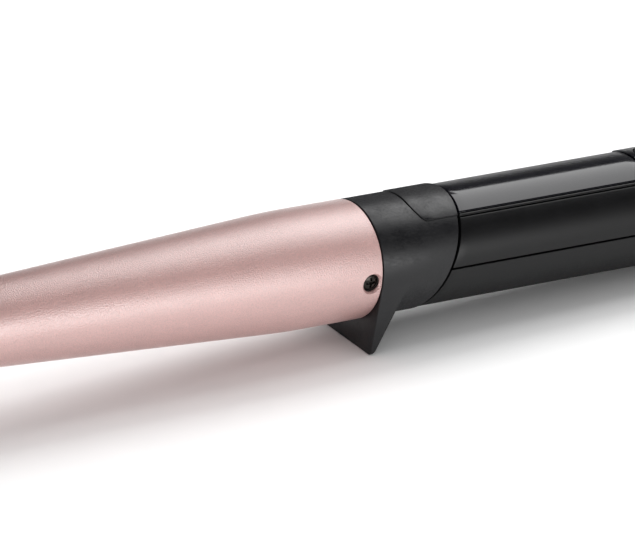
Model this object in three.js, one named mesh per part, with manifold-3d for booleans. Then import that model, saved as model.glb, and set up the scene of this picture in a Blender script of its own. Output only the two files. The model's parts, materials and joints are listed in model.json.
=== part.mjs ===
// A conical curling wand, lying at rest on its stand and on the rear end of its handle.
//
// Every piece is made in the wand's own frame, in millimetres: X runs along the axis, from the
// seam between barrel and collar towards the cord, Z is up, and Y = 0 is the plane of symmetry.
// The whole wand is then tilted, so that the stand's sole and the rear end of the handle both
// touch the plane z = 0, with the origin at the middle of the sole.

import * as THREE from "three";
import { mergeVertices } from "three/addons/utils/BufferGeometryUtils.js";
import Module from "manifold-3d";

const wasm = await Module();
wasm.setup();

// Clearances
const fit = 0.3; // between pieces that seat on each other
const shutLine = 0.35; // the visible line between two outer shells
const insertLine = 0.25; // the finer line round the insert in the collar
const threadGap = 0.3; // round a screw's shank in its hole
const overlap = 0.4; // how far two forms of one piece run into each other

// Facets of a full circle
const wideFacets = 48;
const innerFacets = 32;
const turningFacets = 24;
const smallFacets = 20;
const leadFacets = 8;

// Barrel
const barrelLength = 150;
const barrelRadius = 16; // at the base
const barrelParallel = 24; // length of the parallel part at the base
const barrelTipRadius = 9.5;
const barrelWall = 1;
const barrelEndWall = 1.2;
const barrelEdge = 0.4; // chamfer at both ends

// Cool tip and the insulator behind it
const insulatorThickness = 1.5;
const tipRim = 0.4; // how far the insulator and the tip stand proud of the barrel's end
const tipLength = 24;
const tipNoseRadius = 8.6; // radius where the nose starts to round
const tipNoseRound = 4;
const tipNoseSteps = 4;
const tipWall = 1.8;
const tipBossRadius = 3.4;
const tipScrewLength = 14;
const tipScrewHeadRadius = 2.7;
const tipScrewHeadHeight = 2;
const tipScrewRadius = 1.4;
const tipScrewSlot = 0.8;

// Heater and the two halves that spread its heat
const heaterLength = 70;
const heaterWidth = 10;
const heaterThickness = 1.4;
const heaterFromBase = 50; // from the barrel's base to the near end of the heater
const spreaderLength = 68;
const spreaderWall = 1;
const spreaderWeb = 1.2;
const sensorRadius = 0.7;
const sensorLength = 8;
const sensorFromHeaterEnd = 30;
const fuseRadius = 1.9;
const fuseLength = 10;
const fuseFromBase = 18; // from the barrel's base to the near end of the fuse

// Holder that carries the barrel on the handle
const holderPlugDepth = 14;
const holderPlugBore = 8;
const holderShoulder = 1.7; // thickness of the shoulder that meets the handle
const holderNeckWall = 2;
const holderFlange = 3.7;
const holderTail = 5; // length of the neck behind the flange

// Screws that hold the barrel on its holder, one on each side
const barrelScrewFromBase = 3.1;
const barrelScrewHole = 2.5; // radius of the hole in the barrel
const barrelScrewHeadRadius = 2.1;
const barrelScrewHeadHeight = 1.3;
const barrelScrewSink = 0.8; // depth of the head under the barrel's surface
const barrelScrewRadius = 1.25;
const barrelScrewLength = 4.4;
const crossSlotWidth = 0.7;
const crossSlotDepth = 0.6;

// Collar with its stand
const collarStep = 0.05; // how far the collar lies under the barrel's surface
const collarWall = 1.85;
const collarLength = 22.25; // along the axis
const collarSlant = 0.382; // how far the rear edge leans back for each millimetre up
const standDrop = 6.25; // from the bottom of the collar to the sole
const standTaper = 1.85; // how much narrower the stand is than the collar, on each side
const standCorner = 1; // chamfer at the sole's two corners
const standSole = 1.1; // thickness of the stand at its sole
const standShoulder = 1.4; // how far below the axis the stand's sides leave the collar

// Insert in the top of the collar
const insertLength = 14.84; // along the top, from its front edge to the collar's rear edge
const insertBeyondCover = 0.74; // how much wider the insert is than the cover, on each side
const insertCornerLength = 3.2;
const insertCornerWidth = 6.6;
const insertThickness = 0.85;
const insertProud = 0.1;

// Handle
const handleStep = 0.25; // how far the handle lies under the collar's surface
const handleEnd = 160;
const handleWall = 2.3;
const spigotWall = 1.8;
const spigotLength = 32;
const bossRadius = 3;
const handleScrewRadius = 1.3;
const handleScrewHeadRadius = 2.7;
const handleScrewHeadHeight = 2.2;
const handleScrewSink = 2.7; // depth of the head under the handle's surface
const handleScrewReach = 8.4; // how far the screw goes past the parting plane
const handleScrewWall = 1.4; // round and behind the head
const rearScrewToBoard = 6.4; // from the rear handle screw's axis to the board's front edge

// Strips along the top of the handle
const coverHalfWidth = 8.86;
const stripWidth = 0.6;
const coverThickness = 0.9;
const coverEndGap = 2; // handle left behind the strips

// Controls
const panelFront = 90.4;
const panelProud = 0.35;
const panelCorner = 1.2;
const buttonRadius = 4.5;
const buttonRoom = 0.3; // round a button in its hole
const buttonProud = 0.25; // how far the top stands over the panel
const buttonDome = 0.35;
const buttonDomeBreaks = [0.8, 0.4]; // shares of the button's radius
const buttonFlange = 1.2;
const buttonFlangeRim = 1.2;
const buttonTravel = 0.6;
const stemRadius = 1.6;
const stemPlay = 0.1; // left between stem and switch when a button is pressed home
const minusInset = 6.6; // from the panel's front edge to the first button
const buttonPitch = 12;
const windowAfterPlus = 14.5;
const powerAfterWindow = 16.5;
const windowLength = 12;
const windowHalfWidth = 3.5;
const guideLength = 7;
const guideHalfWidth = 1.2;

// Circuit board and what stands on it
const boardTop = 4.2; // from the axis
const boardThickness = 1.6;
const boardHalfWidth = 10;
const boardLength = 58;
const switchSide = 6;
const switchHeight = 3.1;
const plungerRadius = 1.7;
const plungerHeight = 1;
const lightBarLength = 9;
const lightBarWidth = 3;
const lightBarHeight = 2;
const capacitorSize = [13, 6, 10];
const capacitorInset = 15.6;
const heatSinkSize = [14, 1.3, 11.5];
const heatSinkInset = 32.6;
const triacSize = [10, 4.5, 9];
const boardPostSize = 2.5;
const boardPostInsets = [9, 50];
const boardPostSide = 7.75; // from the plane of symmetry to a post's middle

// End cap, and the swivel that turns in it
const capBand = 4; // parallel part of the cap
const capTaper = 5.7;
const capRearRadius = 12.2;
const capWall = 2.2;
const capSpigotLength = 9;
const capSpigotWall = 1.5;
const capScrewFromEnd = 3;
const capScrewHeadRadius = 2.2;
const capScrewHeadHeight = 0.9;
const capScrewRadius = 1.1;
const capScrewSeat = 0.8; // handle wall left over the head
const spindleRadius = 5;
const spindleLength = 18.5; // from the cap's rear face inwards
const cordBoreRadius = 3.75;
const cordBoreDepth = 14.5;
const glandFlangeRadius = 8.6;
const glandFlange = 2.2;
const glandLength = 15;
const glandEndRadius = 6.6;
const glandRound = 1;
const clipRadius = 8;
const clipThickness = 1.6;
const slipRingWall = 1;
const slipRingWidth = 2.5;
const slipRingInset = 2; // from the spindle's inner end to the first ring
const slipRingPitch = 5;
const springThickness = 0.4;
const springWidth = 2;
const springFootInner = 4.5; // the foot's reach across the wand, from the plane of symmetry
const springFootOuter = 7;
const carrierLength = 10;
const carrierThickness = 2.4;

// Leads
const leadRadius = 0.75;
const sensorLeadRadius = 0.55;
const leadSteps = 15;
const leadStraight = 5; // straight stretch where a lead leaves the heater or meets the fuse
const leadSag = 1; // how far the leads dip under the axis beside the rear screw
const leadTurn = 4; // length over which a lead turns up to the board
const leadTurnDepth = 3.5; // how far below the board that turn starts
const leadTail = 1.5; // upright stretch at the board
const sensorClimb = 6; // length over which the sensor's lead rises before the holder
const sensorHigh = 3.5; // its height over the other leads inside the holder
const sensorDrop = 8; // from the rear screw back to where it has come down again
const mainsInset = 3; // from the board's rear edge to the mains leads
const mainsTail = 2; // upright stretch under the board
const mainsTurn = 4; // length over which they swing out to the sides
const mainsFrontDepth = 1.5; // depth under the axis where that swing ends
const mainsRearDepth = 3; // depth under the axis where they turn down to the springs
const mainsDrop = 3; // length of that turn
const mainsOverFoot = 3.5; // height over the spring's foot in the turn
const mainsFootTail = 1.2; // upright stretch at the foot

// Places that follow from the sizes above
const collarFront = fit;
const collarRadius = barrelRadius - collarStep;
const handleRadius = collarRadius - handleStep;
const standDepth = collarRadius + standDrop; // from the axis to the sole
const standHalfWidth = collarRadius - standTaper;
const insertHalfWidth = coverHalfWidth + insertBeyondCover;
const insertFront = collarLength + collarSlant * collarRadius - insertLength;
const buttonHeight = handleRadius + panelProud + buttonProud; // from the axis to the button's top
const collarBore = collarRadius - collarWall;
const handleBore = handleRadius - handleWall;
const spigotRadius = collarBore - fit;
const spigotBore = spigotRadius - spigotWall;
const spigotFront = collarFront + holderShoulder + fit;
const spigotEnd = spigotFront + spigotLength;
const neckRadius = spigotBore - fit;
const neckBore = neckRadius - holderNeckWall;
const plugRadius = barrelRadius - barrelWall - fit;
const flangeFront = spigotEnd + fit;
const holderEnd = flangeFront + holderFlange + holderTail;
const floorRadius = handleRadius - coverThickness - fit; // floor of the strips' recess
const coverUnderside = handleRadius - coverThickness;
const coverEnd = handleEnd - coverEndGap;
const stripInner = coverHalfWidth + insertLine;
const recessHalfWidth = stripInner + stripWidth + insertLine;
const minusX = panelFront + minusInset;
const plusX = minusX + buttonPitch;
const windowX = plusX + windowAfterPlus;
const powerX = windowX + powerAfterWindow;
const boardFront = panelFront;
const boardEnd = boardFront + boardLength;
const boardUnderside = boardTop - boardThickness;
const plungerTop = boardTop + fit + switchHeight + plungerHeight;
const screwColumnRadius = handleScrewHeadRadius + fit + handleScrewWall;
const frontScrewX = holderEnd + fit + screwColumnRadius;
const rearScrewX = boardFront - rearScrewToBoard;
const handleScrewPlaces = [frontScrewX, rearScrewX];
const handleHeadLow = -handleRadius + handleScrewSink;
const handleHeadHigh = handleHeadLow + handleScrewHeadHeight;
const buttons = [
  { name: "minus", x: minusX },
  { name: "plus", x: plusX },
  { name: "power", x: powerX },
];
const capFront = handleEnd + fit;
const capRear = capFront + capBand + capTaper;
const capSpigotRadius = handleBore - fit;
const capSpigotBore = capSpigotRadius - capSpigotWall;
const spindleFront = capRear - spindleLength;
const slipRingRadius = spindleRadius + fit + slipRingWall;
const slipRings = [
  { name: "live", front: spindleFront + slipRingInset, way: -1 },
  { name: "neutral", front: spindleFront + slipRingInset + slipRingPitch, way: 1 },
];
const carrierTop = -(capSpigotBore - fit - carrierThickness);
const springFoot = carrierTop + fit + springThickness;
const springFootMiddle = (springFootInner + springFootOuter) / 2;
const standBackAtAxis = collarFront + standSole + collarSlant * standDepth;
const leadSide = bossRadius + fit + 2 * leadRadius; // the leads pass the screw bosses on either side

// The tilt at which the sole and the end cap's band touch one level plane
const soleMiddle = collarFront + standSole / 2;
const restTilt = Math.atan2(standDepth - handleRadius, capFront + capBand - soleMiddle);

// Half the size of a block that cuts away one side of a piece
const wholeWand = 500;

// Geometry as a solid that can be joined and cut.
function solidOf(geometry) {
  geometry.deleteAttribute("normal");
  geometry.deleteAttribute("uv");
  const merged = mergeVertices(geometry);
  return new wasm.Manifold(
    new wasm.Mesh({
      numProp: 3,
      vertProperties: merged.attributes.position.array,
      triVerts: new Uint32Array(merged.index.array),
    }),
  );
}

// A solid back as geometry with flat facets.
function geometryOf(solid) {
  const mesh = solid.getMesh();
  const geometry = new THREE.BufferGeometry();
  geometry.setAttribute("position", new THREE.BufferAttribute(mesh.vertProperties, 3));
  geometry.setIndex(new THREE.BufferAttribute(mesh.triVerts, 1));
  const faceted = geometry.toNonIndexed();
  faceted.computeVertexNormals();
  return faceted;
}

const alongX = new THREE.Matrix4().makeBasis(
  new THREE.Vector3(0, -1, 0),
  new THREE.Vector3(1, 0, 0),
  new THREE.Vector3(0, 0, 1),
);
const acrossX = new THREE.Matrix4().makeBasis(
  new THREE.Vector3(0, 1, 0),
  new THREE.Vector3(0, 0, 1),
  new THREE.Vector3(1, 0, 0),
);

// A body of revolution about X from [x, radius] points: outside from front to rear, then back inside.
function turned(profile, facets = wideFacets) {
  const points = profile.map(([x, radius]) => new THREE.Vector2(radius, x));
  const first = points[0];
  const last = points[points.length - 1];
  if (first.x > 0 || last.x > 0) {
    points.push(first.clone());
  }
  return solidOf(new THREE.LatheGeometry(points, facets).applyMatrix4(alongX));
}

// A body of revolution about an upright line at x, y from [z, radius] points that start and end at radius 0.
function turnedUp(x, y, profile, facets = smallFacets) {
  const points = profile.map(([z, radius]) => new THREE.Vector2(radius, z));
  const lathe = new THREE.LatheGeometry(points, facets).rotateX(Math.PI / 2);
  return solidOf(lathe).translate([x, y, 0]);
}

function ring(front, rear, inner, outer, facets = wideFacets) {
  const profile = [
    [front, inner],
    [front, outer],
    [rear, outer],
    [rear, inner],
  ];
  return turned(profile, facets);
}

function rod(front, rear, radius, facets = smallFacets) {
  const profile = [
    [front, 0],
    [front, radius],
    [rear, radius],
    [rear, 0],
  ];
  return turned(profile, facets);
}

// An upright cylinder.
function post(x, y, low, high, radius, facets = smallFacets) {
  const cylinder = new THREE.CylinderGeometry(radius, radius, high - low, facets);
  cylinder.rotateX(Math.PI / 2).translate(x, y, (low + high) / 2);
  return solidOf(cylinder);
}

// A cylinder along Y.
function crossPin(x, left, right, z, radius, facets = smallFacets) {
  const cylinder = new THREE.CylinderGeometry(radius, radius, right - left, facets);
  return solidOf(cylinder.translate(x, (left + right) / 2, z));
}

function block(x, y, z) {
  const box = new THREE.BoxGeometry(x[1] - x[0], y[1] - y[0], z[1] - z[0]);
  return solidOf(box.translate((x[0] + x[1]) / 2, (y[0] + y[1]) / 2, (z[0] + z[1]) / 2));
}

function outline(points) {
  return new THREE.Shape(points.map(([a, b]) => new THREE.Vector2(a, b)));
}

// An outline in plan, drawn in x and y, standing upright from low to high.
function standing(shape, low, high) {
  const options = { depth: high - low, bevelEnabled: false, curveSegments: 6 };
  return solidOf(new THREE.ExtrudeGeometry(shape, options).translate(0, 0, low));
}

// An outline from the side, drawn in x and z, running across the wand.
function across(points, halfWidth) {
  const options = { depth: 2 * halfWidth, bevelEnabled: false };
  const made = new THREE.ExtrudeGeometry(outline(points), options);
  return solidOf(made.rotateX(Math.PI / 2).translate(0, halfWidth, 0));
}

// An outline from the front, drawn in y and z, running along the wand.
function lengthwise(points, front, rear) {
  const options = { depth: rear - front, bevelEnabled: false };
  const made = new THREE.ExtrudeGeometry(outline(points), options);
  return solidOf(made.applyMatrix4(acrossX).translate(front, 0, 0));
}

// A round lead along a smooth line through its points.
function lead(points, radius) {
  const section = new THREE.Shape();
  for (let i = 0; i < leadFacets; i += 1) {
    const angle = (2 * Math.PI * i) / leadFacets;
    const corner = [radius * Math.cos(angle), radius * Math.sin(angle)];
    if (i === 0) {
      section.moveTo(...corner);
    } else {
      section.lineTo(...corner);
    }
  }
  const path = new THREE.CatmullRomCurve3(points.map((p) => new THREE.Vector3(...p)));
  const options = { steps: leadSteps, extrudePath: path, bevelEnabled: false };
  return solidOf(new THREE.ExtrudeGeometry(section, options));
}

// What lies above or below a level plane, and what lies behind the collar's slanted edge.
function above(z) {
  return block([-wholeWand, wholeWand], [-wholeWand, wholeWand], [z, wholeWand]);
}

function below(z) {
  return block([-wholeWand, wholeWand], [-wholeWand, wholeWand], [-wholeWand, z]);
}

function behindSlant(gap) {
  const edge = (z) => collarLength + gap + collarSlant * z;
  const points = [
    [edge(-wholeWand), -wholeWand],
    [wholeWand, -wholeWand],
    [wholeWand, wholeWand],
    [edge(wholeWand), wholeWand],
  ];
  return across(points, wholeWand);
}

function barrelOutside(x) {
  const taper = (-x - barrelParallel) / (barrelLength - barrelParallel);
  const share = THREE.MathUtils.clamp(taper, 0, 1);
  return THREE.MathUtils.lerp(barrelRadius, barrelTipRadius, share);
}

function barrelInside(x) {
  return barrelOutside(x) - barrelWall;
}

// Materials
function finish(color, roughness, metalness) {
  return new THREE.MeshStandardMaterial({ color, roughness, metalness });
}

const roseCoating = finish(0xd6aca4, 0.35, 0.6);
const mattePlastic = finish(0x3c3c3e, 0.6, 0);
const satinPlastic = finish(0x262627, 0.4, 0);
const glossPlastic = finish(0x0b0b0c, 0.08, 0);
const heatPlastic = finish(0x4a4640, 0.7, 0);
const clearPlastic = finish(0x3a1212, 0.15, 0);
const castMetal = finish(0xb9bcc0, 0.45, 0.9);
const ceramic = finish(0xece8df, 0.5, 0);
const steel = finish(0x8d9094, 0.35, 1);
const blackSteel = finish(0x1c1b1b, 0.35, 0.8);
const brass = finish(0xc79a4b, 0.35, 1);
const boardGreen = finish(0x1f5d3a, 0.5, 0);
const componentBlack = finish(0x17171a, 0.5, 0);
const componentBlue = finish(0x2d4f9c, 0.4, 0);
const glassFibreSleeve = finish(0xd9d3c3, 0.8, 0);

const wand = new THREE.Group();
wand.name = "curling_wand";
const tilted = new THREE.Group();
wand.add(tilted);

function add(name, solid, material) {
  const mesh = new THREE.Mesh(geometryOf(solid), material);
  mesh.name = name;
  tilted.add(mesh);
}

// Barrel: a drawn cup with a hole in its end wall for the tip's screw, and one in each side.
function makeBarrel() {
  const end = -barrelLength;
  const insideEnd = end + barrelEndWall;
  const screwHole = tipScrewRadius + threadGap;
  const cup = turned([
    [end, screwHole],
    [end, barrelTipRadius - barrelEdge],
    [end + barrelEdge, barrelOutside(end + barrelEdge)],
    [-barrelParallel, barrelRadius],
    [-barrelEdge, barrelRadius],
    [0, barrelRadius - barrelEdge],
    [0, barrelInside(0)],
    [-barrelParallel, barrelInside(-barrelParallel)],
    [insideEnd, barrelInside(insideEnd)],
    [insideEnd, screwHole],
  ]);
  const sideHoles = crossPin(
    -barrelScrewFromBase,
    -barrelRadius - overlap,
    barrelRadius + overlap,
    0,
    barrelScrewHole,
  );
  add("barrel_shell", cup.subtract(sideHoles), roseCoating);
}

// Tip end: a heat-resisting insulator, the cool tip that the fingers hold, and its screw.
function makeTip() {
  const insulatorRear = -barrelLength - fit;
  const insulatorFront = insulatorRear - insulatorThickness;
  const rimRadius = barrelTipRadius + tipRim;
  const screwHole = tipScrewRadius + threadGap;
  const insulator = ring(insulatorFront, insulatorRear, screwHole, rimRadius, innerFacets);
  add("tip_insulator", insulator, heatPlastic);

  const tipRear = insulatorFront - fit;
  const tipFront = tipRear - tipLength;
  const noseStart = tipFront + tipNoseRound;
  const screwHeadFront = -barrelLength + barrelEndWall + fit;
  const screwEnd = screwHeadFront - tipScrewLength;
  const nose = [];
  for (let step = 1; step < tipNoseSteps; step += 1) {
    const angle = (Math.PI / 2) * (step / tipNoseSteps);
    const x = noseStart - tipNoseRound * Math.cos(angle);
    nose.push([x, tipNoseRadius - tipNoseRound * (1 - Math.sin(angle))]);
  }
  const body = turned([
    [tipFront, 0],
    [tipFront, tipNoseRadius - tipNoseRound],
    ...nose,
    [noseStart, tipNoseRadius],
    [tipRear, rimRadius],
    [tipRear, 0],
  ], innerFacets);
  const hollow = turned([
    [tipFront + tipNoseRound + tipWall, tipBossRadius],
    [tipFront + tipNoseRound + tipWall, tipNoseRadius - tipWall],
    [tipRear + overlap, rimRadius - tipWall],
    [tipRear + overlap, tipBossRadius],
  ], innerFacets);
  const pilot = rod(screwEnd - fit, tipRear + overlap, screwHole);
  add("cool_tip", body.subtract(hollow).subtract(pilot), mattePlastic);

  const headRear = screwHeadFront + tipScrewHeadHeight;
  const shank = rod(screwEnd, screwHeadFront + overlap, tipScrewRadius);
  const head = rod(screwHeadFront, headRear, tipScrewHeadRadius);
  const slot = block(
    [headRear - crossSlotDepth, headRear + overlap],
    [-barrelRadius, barrelRadius],
    [-tipScrewSlot / 2, tipScrewSlot / 2],
  );
  add("tip_screw", shank.add(head).subtract(slot), steel);
}

// Heater plate between two half-round spreaders that lie against the barrel's wall.
function makeHeater() {
  const rear = -heaterFromBase;
  const front = rear - heaterLength;
  const middle = (front + rear) / 2;
  const halfWidth = heaterWidth / 2;
  const halfThickness = heaterThickness / 2;
  const plate = block([front, rear], [-halfWidth, halfWidth], [-halfThickness, halfThickness]);
  add("ceramic_heater", plate, ceramic);

  const spreaderFront = middle - spreaderLength / 2;
  const spreaderRear = middle + spreaderLength / 2;
  const face = halfThickness + fit;
  const outer = turned([
    [spreaderFront, 0],
    [spreaderFront, barrelInside(spreaderFront) - fit],
    [spreaderRear, barrelInside(spreaderRear) - fit],
    [spreaderRear, 0],
  ]);
  const inner = turned([
    [spreaderFront - overlap, 0],
    [spreaderFront - overlap, barrelInside(spreaderFront) - fit - spreaderWall],
    [spreaderRear + overlap, barrelInside(spreaderRear) - fit - spreaderWall],
    [spreaderRear + overlap, 0],
  ]);
  const upperTunnel = inner.intersect(above(face + spreaderWeb));
  const lowerTunnel = inner.intersect(below(-face - spreaderWeb));
  const upper = outer.intersect(above(face)).subtract(upperTunnel);
  const lower = outer.intersect(below(-face)).subtract(lowerTunnel);
  add("heat_spreader_upper", upper, castMetal);
  add("heat_spreader_lower", lower, castMetal);

  const sensorRear = rear - sensorFromHeaterEnd;
  const sensorY = halfWidth + fit + 2 * sensorRadius;
  const sensor = rod(sensorRear - sensorLength, sensorRear, sensorRadius);
  add("temperature_sensor", sensor.translate([0, sensorY, 0]), ceramic);

  const fuseRear = -fuseFromBase;
  const fuse = rod(fuseRear - fuseLength, fuseRear, fuseRadius);
  add("thermal_fuse", fuse.translate([0, -leadSide, 0]), steel);
}

// Holder: its plug closes the barrel's base, and its neck and flange are clamped by the handle.
function makeBarrelHolder() {
  const flangeRear = flangeFront + holderFlange;
  const shoulderRadius = collarBore - fit;
  const neckFront = collarFront + holderShoulder;
  const body = turned([
    [-holderPlugDepth, holderPlugBore],
    [-holderPlugDepth, plugRadius],
    [0, plugRadius],
    [0, shoulderRadius],
    [neckFront, shoulderRadius],
    [neckFront, neckRadius],
    [flangeFront, neckRadius],
    [flangeFront, handleBore - fit],
    [flangeRear, handleBore - fit],
    [flangeRear, neckRadius],
    [holderEnd, neckRadius],
    [holderEnd, neckBore],
    [neckFront, neckBore],
    [0, holderPlugBore],
  ], innerFacets);
  const x = -barrelScrewFromBase;
  const headSeat = barrelRadius - barrelScrewSink - barrelScrewHeadHeight - fit;
  const side = barrelRadius + overlap;
  let holder = body.subtract(crossPin(x, -side, side, 0, barrelScrewRadius + threadGap));
  for (const way of [-1, 1]) {
    const ends = [way * headSeat, way * side].sort((a, b) => a - b);
    holder = holder.subtract(crossPin(x, ...ends, 0, barrelScrewHeadRadius + fit));
  }
  add("barrel_holder", holder, heatPlastic);
}

function makeBarrelScrew(name, way) {
  const x = -barrelScrewFromBase;
  const top = barrelRadius - barrelScrewSink;
  const headSeat = top - barrelScrewHeadHeight;
  const slotFloor = top - crossSlotDepth;
  const spans = (a, b) => [way * a, way * b].sort((p, q) => p - q);
  const head = crossPin(x, ...spans(headSeat, top), 0, barrelScrewHeadRadius);
  const shankSpan = spans(headSeat - barrelScrewLength, headSeat + overlap);
  const shank = crossPin(x, ...shankSpan, 0, barrelScrewRadius);
  const slotSpan = spans(slotFloor, top + overlap);
  const arm = barrelScrewHeadRadius - crossSlotWidth;
  const half = crossSlotWidth / 2;
  const slotAlong = block([x - arm, x + arm], slotSpan, [-half, half]);
  const slotUp = block([x - half, x + half], slotSpan, [-arm, arm]);
  add(name, head.add(shank).subtract(slotAlong).subtract(slotUp), blackSteel);
}

// Plan of the insert in the collar: two rounded front corners, and open to the rear.
function insertPlan(grow) {
  const front = insertFront - grow;
  const side = insertHalfWidth + grow;
  const straight = insertHalfWidth - insertCornerWidth;
  const cornerX = insertFront + insertCornerLength;
  const lengthRadius = insertCornerLength + grow;
  const widthRadius = insertCornerWidth + grow;
  const rear = handleEnd;
  const plan = new THREE.Shape();
  plan.moveTo(rear, -side);
  plan.lineTo(rear, side);
  plan.lineTo(cornerX, side);
  plan.absellipse(cornerX, straight, lengthRadius, widthRadius, Math.PI / 2, Math.PI);
  plan.lineTo(front, -straight);
  plan.absellipse(cornerX, -straight, lengthRadius, widthRadius, Math.PI, 1.5 * Math.PI);
  return plan;
}

// Collar and stand in one piece: a ring with a slanted rear edge and a wedge that stands on its sole.
function makeCollar() {
  const sole = (x) => -standDepth + (x - soleMiddle) * Math.tan(restTilt);
  const tube = ring(collarFront, handleEnd, collarBore, collarRadius);
  const shoulderHalfWidth = Math.sqrt(collarRadius ** 2 - standShoulder ** 2);
  const soleLow = -standDepth - overlap;
  const cornerHigh = -standDepth + standCorner;
  const fromFront = lengthwise(
    [
      [-standHalfWidth + standCorner, soleLow],
      [standHalfWidth - standCorner, soleLow],
      [standHalfWidth, cornerHigh],
      [shoulderHalfWidth, -standShoulder],
      [-shoulderHalfWidth, -standShoulder],
      [-standHalfWidth, cornerHigh],
    ],
    collarFront,
    collarLength,
  );
  const fromSide = across(
    [
      [collarFront, sole(collarFront)],
      [collarFront + standSole, sole(collarFront + standSole)],
      [standBackAtAxis - collarSlant * standShoulder, -standShoulder],
      [collarFront, -standShoulder],
    ],
    wholeWand,
  );
  const bore = rod(collarFront - fit, handleEnd, collarBore, wideFacets);
  const wedge = fromFront.intersect(fromSide).subtract(bore);
  const recessFloor = collarRadius + insertProud - insertThickness - fit;
  const recess = ring(collarFront, handleEnd, recessFloor, collarRadius + overlap)
    .intersect(standing(insertPlan(insertLine), 0, wholeWand));
  const collar = tube.subtract(behindSlant(0)).add(wedge).subtract(recess);
  add("stand_collar", collar, mattePlastic);

  const top = collarRadius + insertProud;
  const insert = ring(collarFront, handleEnd, top - insertThickness, top)
    .intersect(standing(insertPlan(0), 0, wholeWand))
    .subtract(behindSlant(0));
  add("collar_insert", insert, mattePlastic);
}

// Both handle shells before they are parted: the grip, and the spigot under the collar.
function handleTube() {
  const grip = ring(spigotFront, handleEnd, handleBore, handleRadius);
  const spigot = ring(spigotFront, spigotEnd, spigotBore, spigotRadius);
  return grip.intersect(behindSlant(shutLine)).add(spigot);
}

// The holes in the panel and in the shell below it.
function buttonHoles() {
  const holes = buttons.map(({ x }) =>
    post(x, 0, boardTop, wholeWand, buttonRadius + buttonRoom, smallFacets));
  return holes.reduce((all, hole) => all.add(hole));
}

function makeUpperShell() {
  const parting = shutLine / 2;
  const recess = ring(0, coverEnd + fit, floorRadius, handleRadius + overlap)
    .intersect(block([0, wholeWand], [-recessHalfWidth, recessHalfWidth], [0, wholeWand]));
  let shell = handleTube().intersect(above(parting)).subtract(recess);
  const bossTop = (handleBore + floorRadius) / 2;
  for (const x of handleScrewPlaces) {
    shell = shell.add(post(x, 0, parting, bossTop, bossRadius));
    const pilotTop = handleScrewReach + fit;
    shell = shell.subtract(post(x, 0, -parting, pilotTop, handleScrewRadius + threadGap));
  }
  const guideHole = block(
    [windowX - guideLength / 2 - fit, windowX + guideLength / 2 + fit],
    [-guideHalfWidth - fit, guideHalfWidth + fit],
    [boardTop, wholeWand],
  );
  add("handle_upper_shell", shell.subtract(buttonHoles()).subtract(guideHole), satinPlastic);
}

function makeLowerShell() {
  const parting = -shutLine / 2;
  let shell = handleTube().intersect(below(parting));
  const inWall = -(handleBore + handleRadius) / 2;
  for (const x of handleScrewPlaces) {
    const seat = handleHeadHigh + fit;
    shell = shell.add(post(x, 0, inWall, seat + handleScrewWall, screwColumnRadius));
    shell = shell.add(post(x, 0, inWall, parting, bossRadius));
    shell = shell.subtract(post(x, 0, -wholeWand, seat, handleScrewHeadRadius + fit));
    shell = shell.subtract(post(x, 0, -wholeWand, fit, handleScrewRadius + threadGap));
  }
  const half = boardPostSize / 2;
  const wallMiddle = rod(0, handleEnd, -inWall, wideFacets);
  for (const inset of boardPostInsets) {
    for (const side of [-boardPostSide, boardPostSide]) {
      const x = boardFront + inset;
      const pillar = block(
        [x - half, x + half],
        [side - half, side + half],
        [-handleRadius, boardUnderside - fit],
      );
      shell = shell.add(pillar.intersect(wallMiddle));
    }
  }
  const x = handleEnd - capScrewFromEnd;
  const seat = -(handleBore + capScrewSeat);
  shell = shell.subtract(post(x, 0, -wholeWand, seat, capScrewHeadRadius + fit));
  shell = shell.subtract(post(x, 0, -wholeWand, -spindleRadius, capScrewRadius + threadGap));
  add("handle_lower_shell", shell, satinPlastic);
}

function makeHandleScrews() {
  const names = ["handle_screw_front", "handle_screw_rear"];
  names.forEach((name, i) => {
    const x = handleScrewPlaces[i];
    const head = post(x, 0, handleHeadLow, handleHeadHigh, handleScrewHeadRadius);
    const shank = post(x, 0, handleHeadHigh - overlap, handleScrewReach, handleScrewRadius);
    const half = crossSlotWidth / 2;
    const arm = handleScrewHeadRadius - crossSlotWidth;
    const slotZ = [handleHeadLow - overlap, handleHeadLow + crossSlotDepth];
    const slotAlong = block([x - arm, x + arm], [-half, half], slotZ);
    const slotAcross = block([x - half, x + half], [-arm, arm], slotZ);
    add(name, head.add(shank).subtract(slotAlong).subtract(slotAcross), blackSteel);
  });
}

// Gloss cover and control panel, end to end in the handle's recess, with a thin strip on each side.
function makeCoverAndPanel() {
  const skin = (outer) => ring(0, coverEnd, coverUnderside, outer);
  const coverBox = block(
    [0, panelFront - shutLine],
    [-coverHalfWidth, coverHalfWidth],
    [0, wholeWand],
  );
  const cover = skin(handleRadius).intersect(coverBox).intersect(behindSlant(shutLine));
  add("top_cover", cover, glossPlastic);

  for (const [name, way] of [["trim_strip_left", 1], ["trim_strip_right", -1]]) {
    const sides = [way * stripInner, way * (stripInner + stripWidth)].sort((a, b) => a - b);
    const stripBox = block([0, coverEnd], sides, [0, wholeWand]);
    const strip = skin(handleRadius).intersect(stripBox).intersect(behindSlant(shutLine));
    add(name, strip, satinPlastic);
  }

  const panelPlan = outline([
    [panelFront + panelCorner, -coverHalfWidth],
    [coverEnd, -coverHalfWidth],
    [coverEnd, coverHalfWidth],
    [panelFront + panelCorner, coverHalfWidth],
    [panelFront, coverHalfWidth - panelCorner],
    [panelFront, -coverHalfWidth + panelCorner],
  ]);
  const panel = skin(handleRadius + panelProud)
    .intersect(standing(panelPlan, 0, wholeWand))
    .subtract(buttonHoles())
    .subtract(standing(windowPlan(insertLine), 0, wholeWand));
  add("control_panel", panel, glossPlastic);
}

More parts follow.
